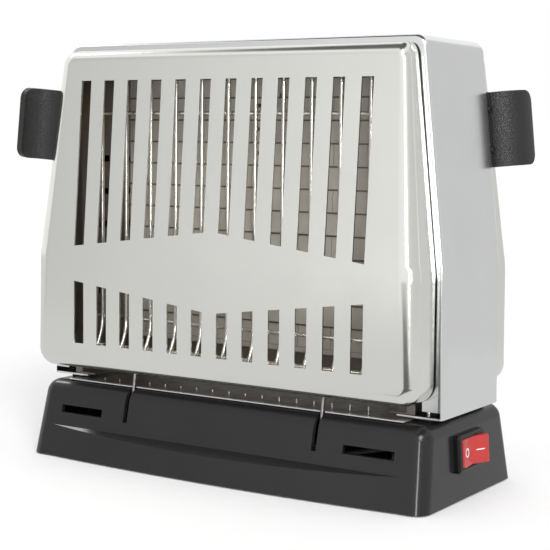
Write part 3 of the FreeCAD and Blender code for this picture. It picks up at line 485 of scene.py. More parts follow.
def handling_group(name):
    """Wiped smudges in the gloss of a bright metal, and the slight waves of pressed sheet."""
    tree, given, out = start_group(name, {"Smudge Scale": 30.0, "Roughness": 0.2, "Spread": 0.08},
                                   ("Roughness", "Height", "Mask"))
    smudge = add_noise(tree, given["Vector"], given["Smudge Scale"], 5.0, 0.62)
    fine = add_noise(tree, given["Vector"], 1400.0, 2.0)
    mask = add_range(tree, smudge, 0.35, 0.7)
    added = add_math(tree, "MULTIPLY", mask, given["Spread"])
    speck = add_math(tree, "MULTIPLY", add_math(tree, "SUBTRACT", fine, 0.5), 0.05)
    total = add_math(tree, "ADD", add_math(tree, "ADD", given["Roughness"], added), speck, clamp=True)
    waves = add_noise(tree, given["Vector"], 9.0, 1.0, 0.3)
    height = add_math(tree, "ADD", waves, add_math(tree, "MULTIPLY", fine, 0.004))
    wire_up(tree, out, Roughness=total, Height=height, Mask=mask)
    return tree


def grain_group(name):
    """Fine orange peel of a moulding, and a mask of rubbed patches."""
    tree, given, out = start_group(name, {"Grain Scale": 900.0}, ("Height", "Rub"))
    grain = add_noise(tree, given["Vector"], given["Grain Scale"], 3.0)
    patches = add_noise(tree, given["Vector"], 22.0, 4.0, 0.6)
    wire_up(tree, out, Height=grain, Rub=add_range(tree, patches, 0.4, 0.72))
    return tree


def heat_group(name):
    """Straw and blue heat tint of metal near the element, in patches."""
    tree, given, out = start_group(name, {"Metal": (0.5, 0.5, 0.5, 1), "Amount": 0.5}, ("Color",))
    ramp = tree.nodes.new("ShaderNodeValToRGB")
    for stop, position, colour in zip(ramp.color_ramp.elements, (0.32, 0.7), (STRAW, BLUED)):
        stop.position = position
        stop.color = colour
    patches = add_noise(tree, given["Vector"], 26.0, 4.0)
    tints = wire_up(tree, ramp, Fac=patches)["Color"]
    wire_up(tree, out, Color=add_mix(tree, given["Amount"], given["Metal"], tints))
    return tree


def finish(build):
    """Makes a material out of a function that fills in its shader, once for each name."""
    def make(name, *values, **settings):
        material = bpy.data.materials.get(name + "_finish")
        if material is None:
            material = bpy.data.materials.new(name + "_finish")
            material.use_nodes = True
            tree = material.node_tree
            place = tree.nodes.new("ShaderNodeTexCoord").outputs["Object"]
            build(tree, tree.nodes["Principled BSDF"], place, *values, **settings)
        return material
    return make


# ---------------------------------------------------------------- materials

@finish
def bright_sheet(tree, shader, place, colour, roughness, spread, smudge=24.0, wave=0.00012, shadow_line_reach=0.0):
    """Chromed sheet, wiped but handled, with a painted shadow line: darkened along the rim nearest the middle
    plane, where a door meets the housing's flange.
    """
    marks = add_group(tree, "Handled metal", handling_group, place,
                      Smudge_Scale=smudge, Roughness=roughness, Spread=spread)
    paint = add_mix(tree, marks["Mask"], colour, shade(colour, 0.965))
    # Painted shadow: a dark band along the rim nearest the middle plane, standing for the shaded gap between
    # door and housing.
    if shadow_line_reach:
        reach = add_math(tree, "ABSOLUTE", split(tree, place)["Y"])
        clear_of_shadow_line = add_range(tree, reach, shadow_line_reach, shadow_line_reach + 0.2 * MM)
        paint = add_mix(tree, clear_of_shadow_line, SHADOW_LINE_DARK, paint)
    wire_up(tree, shader, Metallic=1.0, Base_Color=paint, Roughness=marks["Roughness"],
            Normal=add_bump(tree, marks["Height"], 0.5, wave))


@finish
def scorched_sheet(tree, shader, place, colour, rim):
    """Bright sheet, browned by heat and crumbs inside a rim that stays bright."""
    reach = add_math(tree, "ABSOLUTE", split(tree, place)["Y"])
    inner = add_range(tree, reach, rim, rim + 0.6 * MM, 1.0, 0.0)
    crumbs = add_noise(tree, place, 160.0, 6.0, 0.7)
    mask = add_math(tree, "MULTIPLY", inner, add_range(tree, crumbs, 0.35, 0.65, 0.85, 1.0))
    wire_up(tree, shader, Base_Color=add_mix(tree, mask, colour, SCORCH),
            Metallic=between(tree, mask, 1.0, 0.3), Roughness=between(tree, mask, 0.2, 0.5),
            Normal=add_bump(tree, crumbs, 0.4, 0.2 * MM))


@finish
def moulding(tree, shader, place, colour, roughness, grain=900.0, bump=0.00002, coat=0.0, specular=0.35):
    """Moulded plastic or rubber with fine grain and rubbed patches."""
    marks = add_group(tree, "Moulded grain", grain_group, place, Grain_Scale=grain)
    wire_up(tree, shader, Base_Color=add_mix(tree, marks["Rub"], colour, shade(colour, 1.18)),
            Roughness=between(tree, marks["Rub"], roughness, roughness * 0.8),
            Coat_Weight=coat, Specular_IOR_Level=specular,
            Normal=add_bump(tree, marks["Height"], 0.6, bump))


@finish
def hot_metal(tree, shader, place, colour, roughness, tint=0.0):
    """Plain metal, or metal with a plating, that works near the element."""
    heat = add_group(tree, "Heat tint", heat_group, place, Metal=colour, Amount=tint)
    marks = add_group(tree, "Handled metal", handling_group, place,
                      Smudge_Scale=60.0, Roughness=roughness, Spread=0.15)
    wire_up(tree, shader, Metallic=1.0, Base_Color=heat["Color"], Roughness=marks["Roughness"],
            Normal=add_bump(tree, marks["Height"], 0.3, 0.1 * MM))


@finish
def mica_sheet(tree, shader, place, colour):
    """Pressed mica scored between the ribbon's runs, clouded by heat, with a dull sheen."""
    axes = split(tree, place)
    wobble = between(tree, add_noise(tree, place, 120.0, 2.0), -1.5 * MM, 1.5 * MM)
    spot = wire_up(tree, tree.nodes.new("ShaderNodeCombineXYZ"), X=add_math(tree, "ADD", axes["X"], wobble),
                   Y=add_math(tree, "SUBTRACT", axes["Z"], FIRST_RUN))
    scores = wire_up(tree, tree.nodes.new("ShaderNodeTexBrick"), Vector=spot["Vector"], Scale=1.0,
                     Mortar_Size=0.28 * MM, Mortar_Smooth=0.4, Brick_Width=17.5 * MM, Row_Height=RUN_PITCH)
    whole = between(tree, scores["Fac"], 1.0, 0.0)
    clouds = add_range(tree, add_noise(tree, place, 34.0, 6.0), 0.3, 0.7, 0.3, 1.0)
    mask = add_math(tree, "MULTIPLY", whole, clouds)
    wire_up(tree, shader, Base_Color=add_mix(tree, mask, shade(colour, 0.6), shade(colour, 1.15)),
            Roughness=between(tree, mask, 0.4, 0.6), Normal=add_bump(tree, mask, 0.3, 0.2 * MM))


@finish
def braided_sleeve(tree, shader, place, colour):
    """Woven glass fibre sleeve of a lead: two crossing sets of fine threads."""
    heights = []
    for slant in (1.0, -1.0):
        turned = wire_up(tree, tree.nodes.new("ShaderNodeMapping"), Vector=place,
                         Rotation=(0.6 * slant, 0.6, 0.8 * slant))["Vector"]
        heights.append(wire_up(tree, tree.nodes.new("ShaderNodeTexWave"), Vector=turned,
                               Scale=900.0, Distortion=0.4)["Fac"])
    weave = add_math(tree, "MAXIMUM", *heights)
    wire_up(tree, shader, Base_Color=add_mix(tree, weave, shade(colour, 0.6), colour), Roughness=0.85,
            Normal=add_bump(tree, weave, 0.7, 0.1 * MM))


@finish
def paper(tree, shader, place, grey):
    """Matt paper with a faint cloud."""
    wire_up(tree, shader, Roughness=0.85, Specular_IOR_Level=0.1,
            Base_Color=add_mix(tree, add_noise(tree, place, 60.0, 3.0), (grey,) * 3, (grey * 0.985,) * 3))


@finish
def glow(tree, shader, place, left, right, middle):
    """A plain glow that goes from one strength to another along X, about its middle."""
    across = split(tree, place)["X"]
    wire_up(tree, shader, Base_Color=BLACK, Specular_IOR_Level=0.0, Emission_Color=WHITE,
            Emission_Strength=add_range(tree, across, middle - GLOW_REACH, middle + GLOW_REACH, left, right))


def switch_black():
    """The gloss black of the switch and of the hinge keepers."""
    return moulding("switch_black", SWITCH_BLACK, 0.28, specular=0.25)


# ---------------------------------------------------------------- settings

def number_prop(name, description, default, **limits):
    return bpy.props.FloatProperty(name=name, description=description, default=default, **limits)


def length_prop(name, description, default):
    return number_prop(name, description, default, unit="LENGTH")


def angle_prop(name, description, degrees):
    return number_prop(name, description, math.radians(degrees), subtype="ANGLE")


def share_prop(name, description, default):
    return number_prop(name, description, default, min=0, max=1)


def count_prop(name, description, default, least=2):
    return bpy.props.IntProperty(name=name, description=description, default=default, min=least)


def colour_prop(name, description, default):
    return bpy.props.FloatVectorProperty(name=name, description=description, default=default, subtype="COLOR")


class HousingSettings(bpy.types.PropertyGroup):
    sheet: length_prop("Sheet", "Thickness of the pressed sheet", 0.0008)
    depth: length_prop("Depth", "Depth of the housing over its flanges", 0.0557)
    height: length_prop("Top", "Height of the top of the housing", 0.195)
    low: length_prop("Bottom", "Height of the bottom lips", 0.0372)
    bend: length_prop("Bend", "Height at which the sides and doors change slope", 0.098)
    half_low: length_prop("Half width, bottom", "Half width at the bottom lips", 0.1048)
    half_bend: length_prop("Half width, bend", "Half width at the bend", 0.1044)
    half_top: length_prop("Half width, top", "Half width at the top", 0.0939)
    flange: length_prop("Flange", "Width of the turned-in flange", 0.009)
    corner: length_prop("Corner", "Radius of the upper corners", 0.005)
    edge: length_prop("Edge", "Radius of the folded edge", 0.0018)
    slit: length_prop("Slit", "Gap between a flange's foot and the lip", 0.0024)
    colour: colour_prop("Chrome", "Colour of the housing", (0.78, 0.79, 0.785))
    gloss: share_prop("Roughness", "Roughness of the chrome", 0.13)


class DoorSettings(bpy.types.PropertyGroup):
    inset: length_prop("Inset", "Strip of flange left bare round a door", 0.0034)
    low: length_prop("Bottom", "Height of the lower edge", 0.0438)
    face: length_prop("Face", "Distance of the lower face from the middle plane", 0.0458)
    rim: length_prop("Rim", "Distance of the rim from the middle plane", 0.02815)
    lean: angle_prop("Lean", "Lean of the upper face", 4.26)
    roll: length_prop("Roll", "Radius of the rolled edge", 0.006)
    roll_left: length_prop("Roll, upper left", "Width of the left side roll at the top", 0.0072)
    roll_right: length_prop("Roll, upper right", "Width of the right side roll at the top", 0.0034)
    roll_bend: length_prop("Roll, bend", "Width of the side rolls at the bend", 0.0085)
    corner_low: length_prop("Lower corner", "Radius of the lower corners", 0.0085)
    slots: count_prop("Slots", "Slots in each row", 12)
    pitch: length_prop("Slot pitch", "Spacing of the slots", 0.0135)
    slot_width: length_prop("Slot width", "Width of a slot", 0.0057)
    slot_top: length_prop("Slot top", "Upper end of the upper slots", 0.1776)
    slot_low: length_prop("Slot bottom", "Lower end of the lower slots", 0.0561)
    band_high: length_prop("Band top", "Upper edge of the bare band at the middle", 0.1113)
    band_low: length_prop("Band bottom", "Lower edge of the bare band at the middle", 0.0754)
    band_slope: number_prop("Band slope", "Slope of the bare band's edges", 0.127)
    colour: colour_prop("Chrome", "Colour of the doors", (0.8, 0.805, 0.765))
    gloss: share_prop("Roughness", "Roughness of the chrome", 0.13)


class HingeSettings(bpy.types.PropertyGroup):
    axle_y: length_prop("Axle, from the middle", "Distance of the axle from the middle plane", 0.036)
    axle_z: length_prop("Axle height", "Height of the axle", 0.021)
    arm_x: length_prop("Arms", "Distance of an arm from the middle", 0.05115)
    arm_y: length_prop("Arm top", "Distance of the top of an arm from the middle plane", 0.0319)
    arm_z: length_prop("Arm top height", "Height of the foot that lies in the door", 0.04625)
    wire: length_prop("Wire", "Diameter of the hinge wire", 0.0016)
    bend: length_prop("Bend", "Radius of the wire's bends", 0.002)
    foot: length_prop("Foot", "Reach of the bent-over foot", 0.009)
    spring_wire: length_prop("Spring wire", "Diameter of the spring wire", 0.0009)
    spring_turns: count_prop("Spring turns", "Close turns of the torsion spring", 4, 1)
    colour: colour_prop("Steel", "Colour of the hinge wire", (0.27, 0.265, 0.26))


class HandleSettings(bpy.types.PropertyGroup):
    height: length_prop("Length", "Length of the handle along the door's edge", 0.033)
    thick: length_prop("Thickness", "Thickness of the blade", 0.003)
    curve: length_prop("Curve", "Radius of the quarter round blade", 0.0137)
    corner: length_prop("Corner", "Radius of the blade's corners", 0.005)
    foot: length_prop("Foot", "Reach of the riveted foot", 0.005)
    foot_thick: length_prop("Foot thickness", "Thickness of the foot", 0.0024)
    root: length_prop("Root", "Distance of the blade's root from the middle plane", 0.0335)
    place: length_prop("Height", "Height of the middle of the handle", 0.1567)
    colour: colour_prop("Moulding", "Colour of the handles", (0.018, 0.0172, 0.017))


class InsideSettings(bpy.types.PropertyGroup):
    wires: count_prop("Guard wires", "Upright wires in each guard", 12)
    pitch: length_prop("Guard pitch", "Spacing of the guard wires", 0.0146)
    wire: length_prop("Guard wire", "Diameter of the guard wires", 0.002)
    guard_y: length_prop("Guard plane", "Distance of the guard from the middle plane", 0.0212)
    guard_top: length_prop("Guard top", "Top of the guard wires", 0.186)
    cross_high: length_prop("Upper cross wire", "Height of the upper cross wire", 0.163)
    cross_low: length_prop("Lower cross wire", "Height of the lower cross wire", 0.066)
    curve: length_prop("Foot curve", "Radius of the turned-out foot", 0.024)
    sweep: angle_prop("Foot sweep", "Turn of the foot", 42)
    guard_colour: colour_prop("Guard", "Colour of the guards", (0.92, 0.9, 0.84))
    frame_colour: colour_prop("Frames", "Colour of the end frames", (0.09, 0.082, 0.072))
    # Painted light: set far paler than the mica's own tone, to stand in for the light that reaches the board
    # through the door slots.
    mica_lit_colour: colour_prop("Mica", "Colour of the mica board", (0.94, 0.83, 0.74))
    ribbon_colour: colour_prop("Ribbon", "Colour of the heater ribbon", (0.1, 0.085, 0.075))


class BaseSettings(bpy.types.PropertyGroup):
    soft: length_prop("Soft edge", "Edge radius of the moulding", 0.0005)
    colour: colour_prop("Moulding", "Colour of the base", (0.014, 0.014, 0.0143))
    rocker_colour: colour_prop("Rocker", "Colour of the rocker", (0.42, 0.034, 0.032))
    mark_colour: colour_prop("Marks", "Colour of the on and off marks", (0.85, 0.82, 0.82))
    deck_colour: colour_prop("Deck", "Colour of the deck", (0.78, 0.78, 0.78))


class StageSettings(bpy.types.PropertyGroup):
    floor: length_prop("Floor", "Size of the floor", 60.0)
    grey: share_prop("Floor grey", "Albedo of the floor", 0.98)
    light: number_prop("Sky", "Strength of the plain soft surround", 0.68, min=0)
    lamp: number_prop("Key", "Strength of the wide key light", 2.2, min=0)
    ceiling: share_prop("Ceiling", "How bright the ceiling looks in polished surfaces", 0.12)
    flat_side: share_prop("Side flat", "Grey of the flat that the end wall mirrors", 0.7)
    flat_table: share_prop("Table", "Grey of the table that the undersides mirror", 0.74)
    strip: number_prop("Strip", "Brightness of the strip that edges mirror", 22, min=0)
    gleam: number_prop("Gleam", "Brightness of the small flat that ledges mirror", 9, min=0)
    flat_front: share_prop("Front flat", "Grey of the flat that the doors mirror", 0.82)


SETTINGS = {
    "toaster_housing": HousingSettings,
    "toaster_door": DoorSettings,
    "toaster_hinge": HingeSettings,
    "toaster_handle": HandleSettings,
    "toaster_inside": InsideSettings,
    "toaster_base": BaseSettings,
    "toaster_stage": StageSettings,
}


# ---------------------------------------------------------------- pieces

def row(count, pitch):
    """Evenly spaced places, the same on both sides of the middle."""
    return [(i - (count - 1) / 2) * pitch for i in range(count)]


def along(first, second, axis):
    """True where an edge runs along an axis."""
    return all(abs(first[i] - second[i]) < NEAR for i in range(3) if i != axis)


def housing_half(s, z):
    """Half width of the housing at a height."""
    if z > s.bend:
        return s.half_bend + (z - s.bend) / (s.height - s.bend) * (s.half_top - s.half_bend)
    return s.half_bend + (s.bend - z) / (s.bend - s.low) * (s.half_low - s.half_bend)


def shaped_block(name, s, inset, low, high, y_low, y_high):
    """A block between two heights whose sides follow the housing, inset all round."""
    middle = housing_half(s, s.bend) - inset
    obj = block(name, (-middle, y_low, low), (middle, y_high, high))
    begin_edit(obj, action="SELECT")
    bpy.ops.mesh.bisect(plane_co=(0, 0, s.bend), plane_no=(0, 0, 1))
    end_edit()
    for level in (low, high):
        factor = (housing_half(s, level) - inset) / middle
        stretch_points(obj, lambda p: abs(p.z - level) < NEAR, (factor, 1, 1))
    return obj


def cut_solid(name, s, inset, low, high, y_low, y_high, corner):
    """A block between two heights with its upper corners rounded."""
    obj = shaped_block(name, s, inset, low, high, y_low, y_high)
    limit = housing_half(s, high) - inset - MM
    round_edges(obj, lambda a, b: along(a, b, 1) and a.z > high - MM and abs(a.x) > limit, corner, 8)
    return obj


class TOASTER_OT_housing(bpy.types.Operator):
    """Makes the chrome wrapper of the housing with its turned-in flanges and bottom lips"""
    bl_idname = "toaster.housing"
    bl_label = "Housing"

    def execute(self, context):
        s = context.scene.toaster_housing
        half = s.depth / 2
        obj = cut_solid("housing", s, 0, s.low, s.height, -half, half, s.corner)
        round_edges(obj, lambda a, b: along(a, b, 1) and abs(a.z - s.bend) < MM, HOUSING_ROUND, 4)
        round_folds(obj, lambda a, b: max(abs(a.y), abs(b.y)) > 0.9 and min(abs(a.y), abs(b.y)) < 0.5
                    and min(a.z, b.z) > -0.5, s.edge, 4)
        inner = s.low + s.sheet
        inside = cut_solid("inside", s, s.sheet, inner, s.height - s.sheet,
                           s.sheet - half, half - s.sheet, s.corner - s.sheet)
        window = cut_solid("window", s, s.flange, inner, s.height - s.flange, -THROUGH, THROUGH, s.corner)
        under = block("under", (-LIP_END, -THROUGH, s.low - PAST), (LIP_END, THROUGH, s.low + 2 * s.sheet))
        reach = s.half_low - s.sheet
        slit = block("slit", (-reach, -THROUGH, inner), (reach, THROUGH, inner + s.slit))
        combine(obj, "DIFFERENCE", inside, window, under, slit)
        smooth(obj)
        chrome = bright_sheet("housing_chrome", s.colour, s.gloss, 0.08)
        dress(obj, "body", "housing_chrome", chrome, "housing_wrapper")
        return {"FINISHED"}


def door_solid(name, s, h, inset):
    """The closed form of a front door, inset by the sheet for its hollow."""
    low = s.low + inset
    high = h.height - s.inset - inset
    face = inset - s.face
    back = PAST - s.rim if inset else -s.rim
    obj = shaped_block(name, h, s.inset + inset, low, high, face, back)
    lean = (high - h.bend) * math.tan(s.lean)
    shift_points(obj, lambda p: p.z > high - MM and p.y < face + MM, (0, lean, 0))
    roll = s.roll - inset
    round_edges(obj, lambda a, b: along(a, b, 1) and a.z < low + MM, s.corner_low - inset, 12)
    round_edges(obj, lambda a, b: along(a, b, 1) and a.z > high - MM, roll * 0.98, 8)
    round_folds(obj, lambda a, b: min(a.y, b.y) < -0.9 and max(a.y, b.y) > -0.7, roll * 0.95, 8)
    round_edges(obj, lambda a, b: abs(a.z - h.bend) < NEAR and abs(b.z - h.bend) < NEAR, DOOR_ROUND, 4)
    top = high - TOP_DROP
    for level, span, sign, width in ((h.bend, BEND_SPAN, -1, s.roll_bend), (h.bend, BEND_SPAN, 1, s.roll_bend),
                                     (top, TOP_SPAN, -1, s.roll_left), (top, TOP_SPAN, 1, s.roll_right)):
        side = housing_half(h, level) - s.inset - inset
        start = side - roll * 1.02 - span * 0.12
        stretch_points(obj, lambda p: abs(p.z - level) < span and sign * p.x > start,
                       ((width - inset) / roll, 1, 1), (sign * side, 0, 0))
    return obj


def slot_cutters(s):
    """The two rows of slots; one end of each follows the slope of the bare band."""
    cutters = []
    for x in row(s.slots, s.pitch):
        sides = (x - s.slot_width / 2, x + s.slot_width / 2)
        for low, high, level, slope in ((s.band_high, s.slot_top, s.band_high, -s.band_slope),
                                        (s.slot_low, s.band_low, s.band_low, s.band_slope)):
            cutter = block("slot", (sides[0], SLOT_CUT[0], low), (sides[1], SLOT_CUT[1], high))
            for side in sides:
                shift_points(cutter, lambda p: abs(p.x - side) < NEAR and abs(p.z - level) < NEAR,
                             (0, 0, slope * abs(side)))
            cutters.append(cutter)
    return merge(cutters, "slots")


class TOASTER_OT_doors(bpy.types.Operator):
    """Makes the two slotted chrome doors with their rolled edges"""
    bl_idname = "toaster.doors"
    bl_label = "Doors"

    def execute(self, context):
        s = context.scene.toaster_door
        h = context.scene.toaster_housing
        hinge = context.scene.toaster_hinge
        obj = door_solid("front_door_pan", s, h, 0)
        hollow = door_solid("hollow", s, h, h.sheet)
        holes = [rod("hole", hinge.wire, (x, -hinge.arm_y - HOLE_LEAN, s.low - 2 * MM),
                     (x, -hinge.arm_y, s.low + 3 * MM)) for x in (-hinge.arm_x, hinge.arm_x)]
        combine(obj, "DIFFERENCE", hollow, slot_cutters(s), *holes)
        soften(obj, 0.00012, 1, 60)
        smooth(obj, 30)
        # The doors' chrome carries a painted shadow line along its rim, for the dark gap next to the housing.
        chrome = bright_sheet("door_chrome", s.colour, s.gloss, 0.07, shadow_line_reach=SHADOW_LINE_REACH)
        dress_pair(obj, "door_chrome", chrome, "door", DOORS)
        return {"FINISHED"}


def wire_moves(points, bend):
    """The start of a wire and its runs and bends, from its corners and one bend radius."""
    points = [Vector(p) for p in points]
    place = points[0]
    moves = []
    for before, corner, after in zip(points, points[1:], points[2:]):
        back = (before - corner).normalized()
        ahead = (after - corner).normalized()
        half = back.angle(ahead) / 2
        reach = bend / math.tan(half)
        centre = corner + (back + ahead).normalized() * (bend / math.sin(half))
        moves.append(("run", corner + back * reach - place))
        moves.append(("bend", centre, (-back).cross(ahead).normalized(), 180 - math.degrees(2 * half)))
        place = corner + ahead * reach
    moves.append(("run", points[-1] - place))
    return points[0], moves


class TOASTER_OT_hinges(bpy.types.Operator):
    """Makes each door's bent hinge wire and the torsion spring round its axle"""
    bl_idname = "toaster.hinges"
    bl_label = "Hinge wires and springs"

    def execute(self, context):
        s = context.scene.toaster_hinge
        half = [(s.arm_x, -s.arm_y - s.foot, s.arm_z), (s.arm_x, -s.arm_y, s.arm_z),
                (s.arm_x, -s.axle_y, s.axle_z)]
        other = [(-x, y, z) for x, y, z in reversed(half)]
        start, moves = wire_moves(half + other, s.bend)
        wire = smooth(bent_wire("front_wire", s.wire / 2, start, moves), 50)
        dress_pair(wire, "hinge_steel", hot_metal("hinge_steel", s.colour, 0.25, 0.05), "hinge_wire", DOORS)
        steel = hot_metal("spring_steel", shade(s.colour, 0.8), 0.3, 0.1)
        dress_pair(self.coil(s), "spring_steel", steel, "spring")
        return {"FINISHED"}

    def coil(self, s):
        """Close round turns of spring wire, with one leg up to the rib."""
        radius = s.spring_wire / 2
        drawn = radius * 0.98
        x = COIL_START + radius
        y = s.wire / 2 + COIL_GAP + radius - s.axle_y
        turns = settle(add(bpy.ops.mesh.primitive_circle_add, "front_coil", radius=drawn, vertices=10,
                           fill_type="NOTHING", location=(x, y, s.axle_z)))
        begin_edit(turns, action="SELECT")
        advance = (s.spring_wire / COIL_STEPS, 0, 0)
        for _ in range((s.spring_turns - 1) * COIL_STEPS):
            bpy.ops.mesh.extrude_edges_move(TRANSFORM_OT_translate={"value": advance})
            bpy.ops.transform.rotate(value=math.radians(360 / COIL_STEPS), orient_axis="X",
                                     center_override=(0, -s.axle_y, s.axle_z))
        end_edit()
        leg = rod("leg", drawn, (x, y, s.axle_z), (x, y, s.axle_z + SPRING_LEG), 10)
        return smooth(merge([turns, leg], "front_coil"), 50)


def handle_matrix(s, h, d):
    """From the handle's own axes to the left side wall of the front door."""
    slope = math.atan2(h.half_bend - h.half_top, h.height - h.bend)
    wall = Vector((d.inset - housing_half(h, s.place), -s.root, s.place))
    return Matrix.Translation(wall) @ Matrix.Rotation(slope, 4, "Y")


class TOASTER_OT_handles(bpy.types.Operator):
    """Makes the two quarter round handles and their rivets"""
    bl_idname = "toaster.handles"
    bl_label = "Handles and rivets"

    def execute(self, context):
        s = context.scene.toaster_handle
        place = handle_matrix(s, context.scene.toaster_housing, context.scene.toaster_door)
        blade = smooth(settle(self.blade(s), place), 40)
        black = moulding("handle_black", s.colour, 0.28, 1400.0, 0.0004)
        dress_pair(blade, "handle_black", black, "handle", DOORS)
        rivets = merge([self.rivet(s, z) for z in (-RIVET_Z, RIVET_Z)], "front_rivet_pair")
        smooth(settle(rivets, place), 40)
        dress_pair(rivets, "rivet_alloy", hot_metal("rivet_alloy", RIVET_BLACK, 0.45), "rivets", DOORS)
        return {"FINISHED"}

    def blade(self, s):
        """A strip spun through a quarter turn, on a foot."""
        obj = add(bpy.ops.mesh.primitive_plane_add, "front_blade", size=1, location=(-HAIR, 0, 0),
                  rotation=(0, math.pi / 2, 0))
        obj.scale = (s.height, s.thick, 1)
        settle(obj)
        begin_edit(obj, "FACE", "SELECT")
        bpy.ops.mesh.spin(steps=14, angle=-math.pi / 2, center=(-HAIR, -s.curve, 0), axis=(0, 0, 1))
        weld(WELD / 2)
        end_edit()
        half = s.height / 2
        keep = block("keep", (-2 * s.curve, -s.curve, -half), (PAST, PAST, half))
        round_edges(keep, lambda a, b: along(a, b, 0) and a.y < MM - s.curve, s.corner, 10)
        combine(obj, "INTERSECT", keep)
        combine(obj, "UNION", block("foot", (-s.foot_thick, -s.thick / 2, -half), (-HAIR, s.foot, half)))
        soften(obj, 0.0005, 3, 50)
        return obj

    def rivet(self, s, z):
        """A shank with a low domed head."""
        x = -s.foot_thick
        shank = rod("shank", SHANK_RADIUS, (RIVET_END, RIVET_Y, z), (x - 4 * HAIR, RIVET_Y, z), 24)
        head = rod("head", HEAD_RADIUS, (x - HAIR, RIVET_Y, z), (x - RIVET_END, RIVET_Y, z), 24)
        round_folds(head, lambda a, b: min(a.x, b.x) < -0.9, HEAD_ROUND, 4)
        return merge([shank, head], "rivet")


class TOASTER_OT_guards(bpy.types.Operator):
    """Makes the two wire guards that hold the bread off the element, and the short wires at their feet"""
    bl_idname = "toaster.guards"
    bl_label = "Wire guards"

    def execute(self, context):
        s = context.scene.toaster_inside
        steel = bright_sheet("guard_steel", s.guard_colour, 0.14, 0.1, 60.0, 0.000002)
        wires = [self.upright(s, x) for x in row(s.wires, s.pitch)] + self.cross_wires(s)
        dress_pair(smooth(merge(wires, "front_wires"), 50), "guard_steel", steel, "guard")
        pegs = [self.peg(step) for step in PEG_STEPS]
        dress_pair(smooth(merge(pegs, "front_crumb_wires"), 50), "guard_steel", steel)
        return {"FINISHED"}

    def upright(self, s, x):
        """One upright wire, with its foot turned out."""
        moves = [("run", (0, 0, s.cross_low - s.guard_top)),
                 ("bend", (x, -s.guard_y - s.curve, s.cross_low), (-1, 0, 0), math.degrees(s.sweep))]
        wire = bent_wire("upright", s.wire / 2, (x, -s.guard_y, s.guard_top), moves, 12)
        soften(wire, WIRE_ROUND, 2, 60)
        return wire

    def cross_wires(self, s):
        """Two wires behind the uprights, from frame to frame, and one that ties their feet."""
        y = s.wire - s.guard_y
        wires = [rod("cross", s.wire / 2, (-CROSS_END, y, z), (CROSS_END, y, z), 12)
                 for z in (s.cross_high, s.cross_low)]
        turn = s.sweep * TIE_PLACE
        y = -s.guard_y - s.curve * (1 - math.cos(turn)) + s.wire * math.cos(turn)
        z = s.cross_low - s.curve * math.sin(turn) - s.wire * math.sin(turn)
        span = (s.wires - 1) / 2 * s.pitch + s.wire
        tie = rod("tie", s.wire / 2, (-span, y, z), (span, y, z), 12)
        soften(tie, WIRE_ROUND, 2, 60)
        return [*wires, tie]

    def peg(self, step):
        """One of the short upright wires under the door."""
        x = PEG_MIDDLE + PEG_PITCH * step
        return rod("peg", PEG_RADIUS, (x, PEG_Y, PEG_LOW), (x, PEG_Y, PEG_HIGH + PEG_RISE * step), 12)


class TOASTER_OT_inside(bpy.types.Operator):
    """Finishes the end frames, the rails, the mica board with its ribbon and eyelets, and the wiring"""
    bl_idname = "toaster.inside"
    bl_label = "Frames and element"

    def execute(self, context):
        s = context.scene.toaster_inside
        steel = hot_metal("frame_steel", s.frame_colour, 0.35, 0.3)
        for node in ("end_frame_left", "end_frame_right", "element_rail_bottom", "element_rail_top"):
            dress_node(node, node + "_part", "frame_steel", steel, 0.00015, 1)
        # The mica's colour carries painted light, paler than the board's own tone.
        dress_node("mica_board", "mica_part", "mica", mica_sheet("mica", s.mica_lit_colour), 0.0001, 1)
        ribbon = refined("heater_ribbon", "ribbon_part")
        for run in range(RUNS):
            level = FIRST_RUN + run * RUN_PITCH
            stretch_points(ribbon, lambda p: abs(p.z - level) < RUN_HALF, (1, 1, RUN_SQUASH), (0, 0, level))
        soften(ribbon, 0.00008, 1)
        smooth(ribbon)
        alloy = hot_metal("ribbon_alloy", s.ribbon_colour, 0.4, 0.4)
        dress(ribbon, "body", "ribbon_alloy", alloy, "heater_ribbon")
        eyelets = merge([self.eyelet(*spot) for spot in EYELETS], "front_eyelets")
        dress_pair(smooth(eyelets, 40), "frame_steel", hot_metal("eyelet_steel", EYELET_STEEL, 0.45, 0.3))
        brass = hot_metal("terminal_brass", BRASS, 0.35, 0.15)
        paint_node("element_terminals", brass)
        paint_node("lead_wires", braided_sleeve("lead_sleeve", SLEEVE))
        paint_node("terminal_block", moulding("block_ceramic", CERAMIC, 0.6, 500.0, 0.00004))
        paint_node("switch_terminals", brass)
        return {"FINISHED"}

    def eyelet(self, x, z, radius):
        """A hollow rivet set in the front of the mica board."""
        obj = rod("eyelet", radius, (x, MICA_FACE, z), (x, MICA_FACE - EYELET_HEIGHT, z), 20)
        begin_edit(obj, "FACE")
        select_where(obj, "faces", lambda face: face.normal.y < -0.9)
        bpy.ops.mesh.inset(thickness=radius * 0.3)
        bpy.ops.mesh.extrude_region_move(TRANSFORM_OT_translate={"value": (0, EYELET_DEPTH, 0)})
        end_edit()
        return obj


